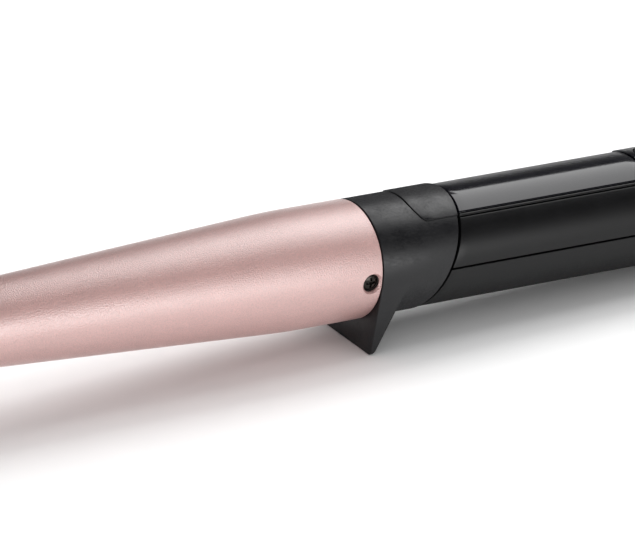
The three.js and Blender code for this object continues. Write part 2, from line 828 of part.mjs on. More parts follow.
// Plan of the indicator window: a slot with round ends.
function windowPlan(grow) {
  const radius = windowHalfWidth + grow;
  const reach = windowLength / 2 - windowHalfWidth;
  const plan = new THREE.Shape();
  plan.moveTo(windowX - reach, -radius);
  plan.absarc(windowX + reach, 0, radius, -Math.PI / 2, Math.PI / 2);
  plan.absarc(windowX - reach, 0, radius, Math.PI / 2, 1.5 * Math.PI);
  return plan;
}

// Button: a domed cap that shows, a flange that keeps it in, and a stem over its switch.
function makeButton({ name, x }) {
  const rim = buttonRadius + buttonFlangeRim;
  const flangeTop = Math.sqrt(handleBore ** 2 - rim ** 2) - fit;
  const flangeLow = flangeTop - buttonFlange;
  const stemLow = plungerTop + buttonTravel + stemPlay;
  const dome = buttonDomeBreaks.map((share) =>
    [buttonHeight - buttonDome * share ** 2, buttonRadius * share]);
  const profile = [
    [stemLow, 0],
    [stemLow, stemRadius],
    [flangeLow, stemRadius],
    [flangeLow, rim],
    [flangeTop, rim],
    [flangeTop, buttonRadius],
    [buttonHeight - buttonDome, buttonRadius],
    ...dome,
    [buttonHeight, 0],
  ];
  add(name + "_button", turnedUp(x, 0, profile), mattePlastic);
}

function makeSwitch({ name, x }) {
  const half = switchSide / 2;
  const low = boardTop + fit;
  const body = block([x - half, x + half], [-half, half], [low, low + switchHeight]);
  const plunger = post(x, 0, low + switchHeight - overlap, plungerTop, plungerRadius);
  add(name + "_switch", body.add(plunger), componentBlack);
}

function makeIndicator() {
  const low = boardTop + fit;
  const lightTop = low + lightBarHeight;
  const halfBar = lightBarLength / 2;
  const halfBarWidth = lightBarWidth / 2;
  const bar = block(
    [windowX - halfBar, windowX + halfBar],
    [-halfBarWidth, halfBarWidth],
    [low, lightTop],
  );
  add("indicator_lights", bar, componentBlue);

  const pane = ring(0, coverEnd, coverUnderside, handleRadius + panelProud)
    .intersect(standing(windowPlan(0), 0, wholeWand));
  const guide = block(
    [windowX - guideLength / 2, windowX + guideLength / 2],
    [-guideHalfWidth, guideHalfWidth],
    [lightTop + fit, coverUnderside + overlap],
  );
  add("indicator_window", pane.add(guide), clearPlastic);
}

// A part hung under the board: its size along X, Y and Z, and where it starts in X and Y.
function underBoard(size, x, y) {
  const high = boardUnderside - fit;
  return block([x, x + size[0]], [y, y + size[1]], [high - size[2], high]);
}

function makeBoard() {
  const plate = block(
    [boardFront, boardEnd],
    [-boardHalfWidth, boardHalfWidth],
    [boardUnderside, boardTop],
  );
  add("circuit_board", plate, boardGreen);
  const capacitorX = boardFront + capacitorInset;
  const capacitor = underBoard(capacitorSize, capacitorX, -capacitorSize[1] / 2);
  add("capacitor", capacitor, componentBlue);
  const sinkX = boardFront + heatSinkInset;
  const sinkY = -heatSinkSize[1] / 2;
  add("triac_heat_sink", underBoard(heatSinkSize, sinkX, sinkY), castMetal);
  const triacX = sinkX + (heatSinkSize[0] - triacSize[0]) / 2;
  const triacY = sinkY + heatSinkSize[1] + fit;
  add("triac", underBoard(triacSize, triacX, triacY), componentBlack);
}

function makeEndCap() {
  const wallFront = capRear - capWall;
  const spigotStart = capFront - capSpigotLength;
  const bandEnd = capFront + capBand;
  const taperMiddle = bandEnd + capTaper / 2;
  const shoulder = (handleRadius + capRearRadius) / 2;
  const bulge = (handleRadius - capRearRadius) / 4;
  const cap = turned([
    [spigotStart, capSpigotBore],
    [spigotStart, capSpigotRadius],
    [capFront, capSpigotRadius],
    [capFront, handleRadius],
    [bandEnd, handleRadius],
    [taperMiddle, shoulder + bulge],
    [capRear, capRearRadius],
    [capRear, spindleRadius + fit],
    [wallFront, spindleRadius + fit],
    [wallFront, capRearRadius - capWall],
    [bandEnd, capSpigotBore],
  ]);
  const screwX = handleEnd - capScrewFromEnd;
  const pilot = post(screwX, 0, -wholeWand, -spindleRadius, capScrewRadius + threadGap);
  add("end_cap", cap.subtract(pilot), satinPlastic);

  const headHigh = -(handleBore + capScrewSeat) - fit;
  const headLow = headHigh - capScrewHeadHeight;
  const screwTop = -capSpigotBore;
  const head = post(screwX, 0, headLow, headHigh, capScrewHeadRadius);
  const shank = post(screwX, 0, headHigh - overlap, screwTop, capScrewRadius);
  add("end_cap_screw", head.add(shank), blackSteel);
}

// Cord swivel: a spindle that turns in the end cap, with a gland for the cord at its outer end,
// a clip that keeps it in, and two slip rings.
function makeSwivel() {
  const glandFront = capRear + fit;
  const glandRear = glandFront + glandLength;
  const flangeRear = glandFront + glandFlange;
  const body = turned([
    [spindleFront, 0],
    [spindleFront, spindleRadius],
    [glandFront, spindleRadius],
    [glandFront, glandFlangeRadius],
    [flangeRear, glandFlangeRadius],
    [glandRear - glandRound, glandEndRadius],
    [glandRear, glandEndRadius - glandRound],
    [glandRear, cordBoreRadius],
    [glandRear - cordBoreDepth, cordBoreRadius],
    [glandRear - cordBoreDepth, 0],
  ], turningFacets);
  add("cord_swivel", body, mattePlastic);

  const clipRear = capRear - capWall - fit;
  const onSpindle = (front, rear, radius) =>
    ring(front, rear, spindleRadius + fit, radius, turningFacets);
  add("swivel_clip", onSpindle(clipRear - clipThickness, clipRear, clipRadius), steel);
  slipRings.forEach(({ name, front }) => {
    add("slip_ring_" + name, onSpindle(front, front + slipRingWidth, slipRingRadius), brass);
  });
}

// Contact springs: bent brass leaves on a carrier in the end cap, each under its slip ring.
function makeContacts() {
  const carrierFront = spindleFront + slipRingInset - fit;
  const carrierBox = block(
    [carrierFront, carrierFront + carrierLength],
    [-wholeWand, wholeWand],
    [-wholeWand, carrierTop],
  );
  const roomInCap = rod(carrierFront, wholeWand, capSpigotBore - fit, wideFacets);
  add("contact_carrier", carrierBox.intersect(roomInCap), heatPlastic);

  slipRings.forEach(({ name, front, way }) => {
    const middle = front + slipRingWidth / 2;
    const crown = -(slipRingRadius + fit);
    const low = springFoot - springThickness;
    const leaf = lengthwise(
      [
        [way * springFootOuter, low],
        [way * springFootOuter, springFoot],
        [way * springFootInner, springFoot],
        [0, crown],
        [-way * springFootInner, springFoot],
        [-way * springFootInner, low],
        [0, crown - springThickness],
        [way * springFootInner, low],
      ],
      middle - springWidth / 2,
      middle + springWidth / 2,
    );
    add("contact_spring_" + name, leaf, brass);
  });
}

// Leads inside the wand.
function makeLeads() {
  const heaterRear = -heaterFromBase + fit;
  const atHeater = heaterWidth / 4;
  const boardLow = boardUnderside - fit;
  const boardX = boardFront + leadRadius + 2 * fit;
  const intoBoard = (y, radius) => [
    [boardX + radius - leadTurn, y, boardLow - leadTurnDepth],
    [boardX + radius, y, boardLow - leadTail],
    [boardX + radius, y, boardLow],
  ];
  const neutral = [
    [heaterRear, atHeater, 0],
    [heaterRear + leadStraight, atHeater, 0],
    [-holderPlugDepth, leadSide, 0],
    [holderEnd, leadSide, 0],
    [rearScrewX, leadSide, -leadSag],
    ...intoBoard(leadSide, leadRadius),
  ];
  add("neutral_lead", lead(neutral, leadRadius), glassFibreSleeve);

  const fuseRear = -fuseFromBase;
  const fuseFront = fuseRear - fuseLength;
  const liveFront = [
    [heaterRear, -atHeater, 0],
    [heaterRear + leadStraight, -atHeater, 0],
    [fuseFront - leadStraight, -leadSide, 0],
    [fuseFront - fit, -leadSide, 0],
  ];
  add("live_lead_front", lead(liveFront, leadRadius), glassFibreSleeve);
  const liveRear = [
    [fuseRear + fit, -leadSide, 0],
    [0, -leadSide, 0],
    [holderEnd, -leadSide, 0],
    [rearScrewX, -leadSide, -leadSag],
    ...intoBoard(-leadSide, leadRadius),
  ];
  add("live_lead_rear", lead(liveRear, leadRadius), glassFibreSleeve);

  const sensorRear = -heaterFromBase - sensorFromHeaterEnd + fit;
  const sensorY = heaterWidth / 2 + fit + 2 * sensorRadius;
  const sensorSide = leadSide + 2 * leadRadius + 2 * sensorLeadRadius + fit;
  const sensor = [
    [sensorRear, sensorY, 0],
    [-heaterFromBase, sensorY, 0],
    [-holderPlugDepth - sensorClimb, sensorY, sensorHigh / 2],
    [-holderPlugDepth, leadSide, sensorHigh],
    [holderEnd, leadSide, sensorHigh],
    [rearScrewX - sensorDrop, sensorSide, 0],
    ...intoBoard(sensorSide, sensorLeadRadius),
  ];
  add("sensor_lead", lead(sensor, sensorLeadRadius), glassFibreSleeve);

  const mainsX = boardEnd - mainsInset;
  const mainsSide = slipRingRadius + 2 * leadRadius;
  slipRings.forEach(({ name, front, way }) => {
    const x = front + slipRingWidth / 2;
    const route = [
      [mainsX, way * leadSide, boardLow],
      [mainsX, way * leadSide, boardLow - mainsTail],
      [mainsX + mainsTurn, way * mainsSide, -mainsFrontDepth],
      [x - mainsDrop, way * mainsSide, -mainsRearDepth],
      [x, way * springFootOuter, springFoot + mainsOverFoot],
      [x, way * springFootMiddle, springFoot + fit + mainsFootTail],
      [x, way * springFootMiddle, springFoot + fit],
    ];
    add("mains_lead_" + name, lead(route, leadRadius), componentBlack);
  });
}

makeBarrel();
makeTip();
makeHeater();
makeBarrelHolder();
makeBarrelScrew("barrel_screw_left", 1);
makeBarrelScrew("barrel_screw_right", -1);
makeCollar();
makeUpperShell();
makeLowerShell();
makeHandleScrews();
makeCoverAndPanel();
buttons.forEach(makeButton);
buttons.forEach(makeSwitch);
makeIndicator();
makeBoard();
makeEndCap();
makeSwivel();
makeContacts();
makeLeads();

// Rest: turn the wand about Y, and bring the middle of the sole to the origin.
tilted.rotation.y = restTilt;
const soleAt = new THREE.Vector3(soleMiddle, 0, -standDepth);
tilted.position.copy(soleAt.applyEuler(tilted.rotation).negate());

export default wand;
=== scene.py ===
"""The looks of a conical curling wand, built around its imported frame.

Shapes are drawn in the wand's own frame, in millimetres: x runs along the axis from the seam
between barrel and collar towards the cord, y is across and z is up. An angle round the wand is
measured from +y towards +z, so 90 degrees is the top. FROM_WAND turns those millimetres into
metres in the part's frame.
"""

import json
from math import acos, asin, atan2, cos, degrees, hypot, pi, radians, sin, sqrt, tan

import bmesh
import bpy
from mathutils import Matrix, Vector


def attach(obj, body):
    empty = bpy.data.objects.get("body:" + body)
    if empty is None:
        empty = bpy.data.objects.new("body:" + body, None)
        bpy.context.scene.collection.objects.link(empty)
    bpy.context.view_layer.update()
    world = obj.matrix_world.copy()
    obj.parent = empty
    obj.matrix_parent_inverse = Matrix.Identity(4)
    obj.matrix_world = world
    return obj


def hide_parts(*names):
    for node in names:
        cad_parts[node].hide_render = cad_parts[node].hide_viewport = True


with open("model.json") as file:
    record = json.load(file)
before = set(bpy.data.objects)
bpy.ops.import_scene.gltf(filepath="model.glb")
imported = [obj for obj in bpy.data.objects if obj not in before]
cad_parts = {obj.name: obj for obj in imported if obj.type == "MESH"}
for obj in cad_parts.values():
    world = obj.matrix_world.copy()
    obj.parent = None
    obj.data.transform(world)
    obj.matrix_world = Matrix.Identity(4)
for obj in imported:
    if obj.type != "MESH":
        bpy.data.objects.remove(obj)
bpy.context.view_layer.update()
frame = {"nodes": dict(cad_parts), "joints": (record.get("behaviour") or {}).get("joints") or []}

# The wand's own frame, from the joint that the cord swivel turns on
SWIVEL_X = 170  # the swivel joint's place along the axis
swivel_joint = next(j for j in frame["joints"] if j["name"] == "cord_swivel_turn")
AXIS = Vector(swivel_joint["axis"]).normalized()
ACROSS = Vector((0, 1, 0))
UPWARD = AXIS.cross(ACROSS)
MILLIMETRE = 0.001
SEAM = Vector(swivel_joint["pos_m"]) - AXIS * SWIVEL_X * MILLIMETRE
FROM_WAND = Matrix.Translation(SEAM) @ Matrix((AXIS, ACROSS, UPWARD)).transposed().to_4x4()
FROM_WAND = FROM_WAND @ Matrix.Scale(MILLIMETRE, 4)
TO_WAND = FROM_WAND.inverted()
TILT = atan2(-AXIS.z, AXIS.x)


def middle_x(node):
    """The middle of a CAD node along the wand's axis, in millimetres."""
    places = [(TO_WAND @ vertex.co).x for vertex in frame["nodes"][node].data.vertices]
    return (min(places) + max(places)) / 2


# Clearances
FIT = 0.3
SHUT_LINE = 0.35  # between pieces that meet without a step
SEAM_LINE = 1  # between collar and handle
PARTING_LINE = 0.55  # between the handle's two shells
THREAD_GAP = 0.3
BEYOND = 3  # how far a cutter runs past what it cuts

# Edges
EDGE = 0.14  # radius of a moulded edge
CUTTER_EDGE = 0.01
RIM_EDGE = 0.3  # turned rims
SOFT_RIM = 0.4  # turned rims that are rounder
BUTTON_EDGE = 0.2
SCREW_EDGE = 0.1
SCREW_HEAD_EDGE = 0.25
SCREW_POINT = 0.3

# Fineness of the meshes
ROUND_STEPS = 4  # steps in a quarter turn of an edge
DOME_STEPS = 10
TURN = 192  # facets of a full circle
ANGLE_PITCH = 1.5  # degrees between a plate's sections
FINE_ANGLE_PITCH = 0.75
LENGTH_PITCH = 3.0  # millimetres between a plate's rings
STRAIGHT = 1e-3  # a corner that turns less than this, in radians, gets no arc
MERGED = 1e-4  # points closer than this become one
MERGED_AFTER_CUT = 1e-3
WALL_SHARE = 2.2  # an end's rounding takes at most the wall's thickness over this
SHARP = 35  # degrees, from which an edge is shaded as a corner
SHARP_ON_CURVES = 40

# Barrel
BARREL_RADIUS = 16
BARREL_LENGTH = 150
BARREL_PARALLEL = 24
BARREL_TIP_RADIUS = 9.5
BARREL_EASE = 230  # radius of the bend between the parallel part and the cone
BARREL_WALL = 1
BARREL_END_WALL = 1.2
BARREL_RIM = 0.4
BARREL_HOLE = 2.5
BARREL_HOLE_RIM = 3.15
BARREL_HOLE_SINK = 0.75
BARREL_SCREW_TOP = 15.2
BARREL_SCREW_SEAT = 13.9
BARREL_SCREW_END = 9.5
BARREL_SCREW_HEAD = 2.1
BARREL_SCREW_DOME = 0.55
BARREL_SCREW_SHANK = 1.25
BARREL_SCREW_X = middle_x("barrel_screw_left")
SLOT_WIDTH = 0.7
SLOT_DEPTH = 0.7

# Insulator and cool tip
INSULATOR_FRONT = -151.8
INSULATOR_REAR = -150.3
TIP_REAR = -152.1
TIP_FRONT = -176.1
TIP_RIM_RADIUS = 9.9
TIP_NOSE_RADIUS = 8.6
TIP_NOSE_DRAFT = 0.3  # how much narrower than that the nose ends
TIP_NOSE_ROUND = 4
TIP_WALL = 1.8
TIP_BOSS = 3.4
TIP_HOLE = 1.7
TIP_PILOT_END = -162.8

# Collar with its stand
COLLAR_FRONT = 0.3
COLLAR_RADIUS = 15.95
COLLAR_BORE = 14.1
COLLAR_LENGTH = 21.8
SLANT = 0.382
STAND_DEPTH = 22.2
STAND_HALF_WIDTH = 14.1
STAND_SOLE = 1.1
STAND_SHOULDER = 1.4
STAND_CORNER = 1.2
STAND_FILLET = 1.3
STAND_EDGE = 0.3
LEAST_LEDGE = 0.01  # below this the stand's rear face has not yet left the collar
LEDGE_SHARE = 0.45  # an arc on that face takes at most this share of it
STAND_BACK = COLLAR_FRONT + STAND_SOLE + SLANT * STAND_DEPTH
COLLAR_EDGE = 0.2
RIM_PITCH = 1.4

# Insert in the collar
INSERT_LINE = 0.25
INSERT_FRONT = 13.9
INSERT_HALF_WIDTH = 10.05
INSERT_CORNER_LENGTH = 3.2
INSERT_CORNER_WIDTH = 6.6
INSERT_THICKNESS = 0.85
INSERT_RADIUS = COLLAR_RADIUS + 0.25

# Handle
HANDLE_RADIUS = 15.7
HANDLE_BORE = 13.4
HANDLE_END = 160
SPIGOT_FRONT = 2.3
SPIGOT_END = 34.3
SPIGOT_RADIUS = 13.8
SPIGOT_BORE = 12
FLOOR_RADIUS = 14.5  # floor of the recess under the cover and the strips
LONG_EDGE = 88  # degrees from the top, beyond which the shell's long edge is rounded
COVER_HALF_WIDTH = 9.05
COVER_INNER = 14.8
COVER_EDGE = 0.22
COVER_LINE = 0.2
STRIP_WIDTH = 0.6
STRIP_LINE = 0.35
STRIP_EDGE = 0.26
PANEL_FRONT = 90.4
PANEL_RADIUS = HANDLE_RADIUS + 0.35
PANEL_CORNER = 1.2
PANEL_ANGLE_PITCH = 1.0
COVER_END = 158
BOSS_RADIUS = 3
BOSS_TOP = 13.95
SCREW_COLUMN = 4.4
SCREW_COLUMN_TOP = -9.1
WALL_MIDDLE = 14.55
HANDLE_SCREW_PLACES = (48.0, 84.0)
HANDLE_SCREW_HEAD = 2.7
HANDLE_SCREW_SHANK = 1.3
HANDLE_SCREW_LOW = -13.0
HANDLE_SCREW_SEAT = -10.8
HANDLE_SCREW_TOP = 8.4
PILLAR_SIDE = 7.75
PILLAR_HALF = 1.25
PILLAR_LOW = -12.3
PILLAR_TOP = 2.3
PILLAR_PLACES = (99.4, 140.4)
LIP = (43.8, 150.8)  # a lip of the lower shell that closes the parting line from inside
LIP_THICKNESS = 0.8
LIP_ANGLE = 4  # how far it reaches to either side of the line, in degrees

# Controls
BUTTONS = ("minus", "plus", "power")
BUTTON_RADIUS = 4.5
BUTTON_ROOM = 0.3
BUTTON_TOP = 16.3
BUTTON_DOME = 0.35
BUTTON_RIM = 5.7
BUTTON_FLANGE_TOP = 11.827
BUTTON_FLANGE = 1.2
STEM_RADIUS = 1.6
STEM_LOW = 9.3
BOARD_TOP = 4.2
WINDOW_X = 123.5
WINDOW_REACH = 2.5  # from the middle to the centre of a round end
WINDOW_HALF_WIDTH = 3.5
WINDOW_ANGLE_PITCH = 0.6
WINDOW_LENGTH_PITCH = 1.5
GUIDE_HALF_LENGTH = 3.5  # the guide is the block under the window
GUIDE_HALF_WIDTH = 1.2
GUIDE_LOW = 6.8

# End cap and swivel
CAP_FRONT = 160.3
CAP_BAND_END = 164.3
CAP_REAR = 170
CAP_REAR_RADIUS = 12.2
CAP_BEND = 5  # radius where the band turns in
CAP_SHOULDER_BEND = 4
CAP_REAR_EDGE = 0.5
CAP_EDGE = 0.2
CAP_WALL = 2.2
CAP_SPIGOT_FRONT = 151.3
CAP_SPIGOT_RADIUS = 13.1
CAP_SPIGOT_BORE = 11.6
CAP_SCREW_X = 157
CAP_SCREW_SHANK = 1.1
CAP_SCREW_HEAD = 2.2
CAP_SCREW_LOW = -15.4
CAP_SCREW_SEAT = -14.5
SPINDLE_FRONT = 151.5
SPINDLE_RADIUS = 5
GLAND_FRONT = 170.3
GLAND_REAR = 185.3
GLAND_FLANGE_RADIUS = 8.6
GLAND_FLANGE = 2.2
GLAND_END_RADIUS = 6.6
GLAND_FLANGE_ROUND = 2
GLAND_END_ROUND = 1
CORD_BORE = 3.75
CORD_BORE_FRONT = 170.8


def rounded(points, closed=True, steps=ROUND_STEPS):
    """A line through (x, y) or (x, y, radius) corners, with an arc at each corner with a radius."""
    line = []
    for i, point in enumerate(points):
        corner = Vector(point[:2])
        is_end = not closed and i in (0, len(points) - 1)
        if len(point) < 3 or is_end:
            line.append(tuple(corner))
            continue
        radius = point[2]
        back = Vector(points[i - 1][:2]) - corner
        on = Vector(points[(i + 1) % len(points)][:2]) - corner
        turn = pi - back.angle(on) if radius > 0 else 0
        if turn < STRAIGHT:
            line.extend([tuple(corner)] * (steps + 1))
            continue
        half = (pi - turn) / 2
        reach = radius / tan(half)
        back.normalize()
        on.normalize()
        centre = corner + (back + on).normalized() * radius / sin(half)
        start = corner + back * reach - centre
        end = corner + on * reach - centre
        for k in range(steps + 1):
            share = k / steps
            arm = start * sin((1 - share) * turn) + end * sin(share * turn)
            line.append(tuple(centre + arm / sin(turn)))
    return line


def mesh_of(points, faces):
    """A closed mesh with merged points and normals that face out."""
    work = bmesh.new()
    made = [work.verts.new(p) for p in points]
    for face in faces:
        work.faces.new([made[i] for i in face])
    bmesh.ops.remove_doubles(work, verts=work.verts, dist=MERGED)
    bmesh.ops.recalc_face_normals(work, faces=work.faces)
    mesh = bpy.data.meshes.new("work")
    work.to_mesh(mesh)
    work.free()
    return mesh


def grid(rows, rows_close=True, line_closes=True):
    """Points and faces of a grid of equally long rows."""
    count = len(rows[0])
    points = [p for row in rows for p in row]
    faces = []
    for r in range(len(rows) if rows_close else len(rows) - 1):
        next_row = (r + 1) % len(rows)
        for c in range(count if line_closes else count - 1):
            next_c = (c + 1) % count
            faces.append((
                r * count + c,
                r * count + next_c,
                next_row * count + next_c,
                next_row * count + c,
            ))
    return points, faces


def spun(profile, place, facets):
    """A body of revolution. A profile that starts on the axis also ends on it."""
    on_axis = profile[0][1] == 0
    line = rounded(profile, closed=not on_axis)
    rows = []
    for k in range(facets):
        angle = 2 * pi * k / facets
        rows.append([place(along, r * cos(angle), r * sin(angle)) for along, r in line])
    return mesh_of(*grid(rows, line_closes=not on_axis))


def turned(profile):
    """A body of revolution about the wand's axis, from (x, radius) corners."""
    return spun(profile, lambda x, y, z: (x, y, z), TURN)


def turned_up(at, profile, facets=TURN // 2):
    """A body of revolution about an upright line, from (z, radius) corners."""
    return spun(profile, lambda z, x, y: (at + x, y, z), facets)


def turned_across(at, side, profile):
    """A body of revolution about a line across the wand, from (distance out, radius) corners."""
    return spun(profile, lambda out, x, z: (at + x, side * out, z), TURN // 3)


def dome(top, height, radius):
    """Corners of a shallow dome from near its rim to near its middle, as (place, radius)."""
    shares = [k / DOME_STEPS for k in range(DOME_STEPS - 1, 0, -1)]
    return [(top - height * share ** 2, radius * share) for share in shares]


def block(x, y, z):
    """A box between two places in x, y and z."""
    corners = [(a, b, c) for a in x for b in y for c in z]
    faces = [(0, 1, 3, 2), (4, 6, 7, 5), (0, 4, 5, 1), (2, 3, 7, 6), (0, 2, 6, 4), (1, 5, 7, 3)]
    return mesh_of(corners, faces)


def quarter(edge):
    """Steps round a quarter circle, as (distance from the start, distance still to rise)."""
    turns = (pi / 2 * k / ROUND_STEPS for k in range(ROUND_STEPS + 1))
    return [(edge * (1 - cos(a)), edge * (1 - sin(a))) for a in turns]


def skin(sections, front, rear, edge=EDGE, pitch=LENGTH_PITCH, change=None):
    """A curved plate along the wand, rounded at both ends.

    sections are (angle, inner radius, outer radius) from one long edge to the other, and front and
    rear give its ends in x from y, z. change is a place in x and the sections from there on."""
    first = sections[0][0]
    width = sections[-1][0] - first
    reference = max(outer for _, _, outer in sections)

    def ring(rows, end, shift=0.0, inset=0.0):
        turn = degrees(inset / reference)
        loop = []
        back = []
        for angle, inner, outer in rows:
            at = radians(first + turn + (angle - first) * (1 - 2 * turn / width))
            drop = min(inset, (outer - inner) / WALL_SHARE)
            x = end(reference * cos(at), reference * sin(at)) if end else change[0]
            for line, r in ((loop, outer - drop), (back, inner + drop)):
                y, z = r * cos(at), r * sin(at)
                if end in SLANTED:
                    x = end(y, z)
                line.append((x + shift, y, z))
        return loop + back[::-1]

    later = change[1] if change else sections
    rings = [ring(sections, front, shift, inset) for shift, inset in quarter(edge)]
    last = [ring(later, rear, -shift, inset) for shift, inset in reversed(quarter(edge))]
    stops = [rings.pop()]
    if change:
        stops += [ring(sections, None), ring(later, None)]
    stops.append(last.pop(0))
    for start, finish in zip(stops, stops[1:]):
        count = max(1, round((finish[0][0] - start[0][0]) / pitch))
        for k in range(count):
            share = k / count
            rings.append([tuple(Vector(a).lerp(Vector(b), share)) for a, b in zip(start, finish)])
    rings.append(stops[-1])
    rings.extend(last)
    points, faces = grid(rings, rows_close=False)
    count = len(rings[0])
    for base in (0, (len(rings) - 1) * count):
        for i in range(len(sections) - 1):
            other = base + count - 1 - i
            faces.append((base + i, base + i + 1, other - 1, other))
    return mesh_of(points, faces)


def band(start, end, inner, outer, edge=EDGE, pitch=ANGLE_PITCH):
    """Sections of a plate from one angle to another, with its long edges rounded."""
    turn = degrees(1 / outer)
    arc = [(shift * turn, drop) for shift, drop in quarter(edge)]
    sections = [(start + shift, inner + drop, outer - drop) for shift, drop in arc]
    inset = edge * turn
    count = max(2, round((end - start - 2 * inset) / pitch))
    for k in range(1, count):
        sections.append((start + inset + (end - start - 2 * inset) * k / count, inner, outer))
    sections.extend((end - shift, inner + drop, outer - drop) for shift, drop in reversed(arc))
    return sections


def side_angle(half_width, radius):
    """The angle of a place on a round surface, so far from the middle plane."""
    return degrees(acos(half_width / radius))


def arched(half_width, inner, outer, edge=EDGE, pitch=ANGLE_PITCH):
    """Sections of a plate over the top of the wand, of the given half width at its surface."""
    start = side_angle(half_width, outer)
    return band(start, 180 - start, inner, outer, edge, pitch)


def collar_edge(y, z):
    return COLLAR_LENGTH + SLANT * z


def handle_edge(y, z):
    return COLLAR_LENGTH + SEAM_LINE + SLANT * z


SLANTED = (collar_edge, handle_edge)  # ends that lean, so that they differ through the wall


def level(x):
    """An end square to the axis."""
    return lambda y, z: x


def combined(base, others, operation="DIFFERENCE"):
    """A mesh cut by other meshes, or joined with them."""
    body = bpy.data.objects.new("work", base)
    bpy.context.scene.collection.objects.link(body)
    tools = []
    for mesh in others:
        tool = bpy.data.objects.new("tool", mesh)
        bpy.context.scene.collection.objects.link(tool)
        tools.append(tool)
        cut = body.modifiers.new("cut", "BOOLEAN")
        cut.operation = operation
        cut.solver = "EXACT"
        cut.object = tool
    graph = bpy.context.evaluated_depsgraph_get()
    made = bpy.data.meshes.new_from_object(body.evaluated_get(graph))
    for extra in [body, *tools]:
        bpy.data.objects.remove(extra)
    work = bmesh.new()
    work.from_mesh(made)
    bmesh.ops.remove_doubles(work, verts=work.verts, dist=MERGED_AFTER_CUT)
    bmesh.ops.dissolve_degenerate(work, edges=work.edges, dist=MERGED)
    work.to_mesh(made)
    work.free()
    return made


def worked_out(tree, kind, a, b):
    """The result of a Math node on a and b, each of which is a socket or a number."""
    node = tree.nodes.new("ShaderNodeMath")
    node.operation = kind
    for socket, value in zip(node.inputs, (a, b)):
        if isinstance(value, (int, float)):
            socket.default_value = value
        else:
            tree.links.new(value, socket)
    return node.outputs["Value"]


# Materials
NOISE_LOW = 0.3  # a noise's values mostly lie between these two
NOISE_HIGH = 0.7
PATCH_DETAIL = 3
GRAIN_DETAIL = 2
LEAST_ROUGHNESS = 0.01
GLANCING = 0.45  # from here to 1, at the very edge, a surface gets rougher


def look(
    name,
    colour,
    roughness,
    metallic=0.0,
    mottle=0.06,
    patch=90,
    grain=2600,
    spread=0.04,
    relief=0.04,
    depth=0.00003,
    coat=0.0,
    coat_roughness=0.1,
    coat_ior=1.5,
    ior=1.5,
    transmission=0.0,
    soft_edge=0.00012,
    fleck=0.0,
    cloud=0.0,
    rim=0.0,
):
    """A material with slightly uneven colour and gloss, a fine grain and softened edges.

    fleck varies the colour and spread the gloss from grain to grain, mottle the colour and cloud
    the gloss from patch to patch, and rim is how much rougher it gets at a glancing angle. patch
    and grain are noise scales, and depth and soft_edge are in metres."""
    made = bpy.data.materials.new(name)
    made.use_nodes = True
    tree = made.node_tree
    shader = tree.nodes["Principled BSDF"]
    place = tree.nodes.new("ShaderNodeTexCoord").outputs["Object"]

    def noise(scale, detail):
        node = tree.nodes.new("ShaderNodeTexNoise")
        node.inputs["Scale"].default_value = scale
        node.inputs["Detail"].default_value = detail
        tree.links.new(place, node.inputs["Vector"])
        return node.outputs["Fac"]

    def ranged(value, low, high):
        node = tree.nodes.new("ShaderNodeMapRange")
        node.inputs["From Min"].default_value = NOISE_LOW
        node.inputs["From Max"].default_value = NOISE_HIGH
        node.inputs["To Min"].default_value = low
        node.inputs["To Max"].default_value = high
        tree.links.new(value, node.inputs["Value"])
        return node.outputs["Result"]

    patches = noise(patch, PATCH_DETAIL)
    grains = noise(grain, GRAIN_DETAIL)
    shade = ranged(patches, 1 - mottle, 1 + mottle)
    if fleck:
        shade = worked_out(tree, "MULTIPLY", shade, ranged(grains, 1 - fleck, 1 + fleck))
    tone = tree.nodes.new("ShaderNodeVectorMath")
    tone.operation = "SCALE"
    tone.inputs[0].default_value = colour
    tree.links.new(shade, tone.inputs["Scale"])
    tree.links.new(tone.outputs["Vector"], shader.inputs["Base Color"])
    gloss = ranged(grains, max(roughness - spread, LEAST_ROUGHNESS), roughness + spread)
    if cloud:
        gloss = worked_out(tree, "ADD", gloss, ranged(patches, -cloud, cloud))
    if rim:
        facing = tree.nodes.new("ShaderNodeLayerWeight")
        glancing = tree.nodes.new("ShaderNodeMapRange")
        glancing.inputs["From Min"].default_value = GLANCING
        glancing.inputs["To Max"].default_value = rim
        tree.links.new(facing.outputs["Facing"], glancing.inputs["Value"])
        gloss = worked_out(tree, "ADD", gloss, glancing.outputs["Result"])
    tree.links.new(gloss, shader.inputs["Roughness"])
    bump = tree.nodes.new("ShaderNodeBump")
    bump.inputs["Strength"].default_value = relief
    bump.inputs["Distance"].default_value = depth
    tree.links.new(grains, bump.inputs["Height"])
    if soft_edge:
        bevel = tree.nodes.new("ShaderNodeBevel")
        bevel.inputs["Radius"].default_value = soft_edge
        tree.links.new(bevel.outputs["Normal"], bump.inputs["Normal"])
    tree.links.new(bump.outputs["Normal"], shader.inputs["Normal"])
    if coat:
        tree.links.new(bump.outputs["Normal"], shader.inputs["Coat Normal"])
    shader.inputs["Metallic"].default_value = metallic
    shader.inputs["IOR"].default_value = ior
    shader.inputs["Coat Weight"].default_value = coat
    shader.inputs["Coat Roughness"].default_value = coat_roughness
    shader.inputs["Coat IOR"].default_value = coat_ior
    shader.inputs["Transmission Weight"].default_value = transmission
    return made


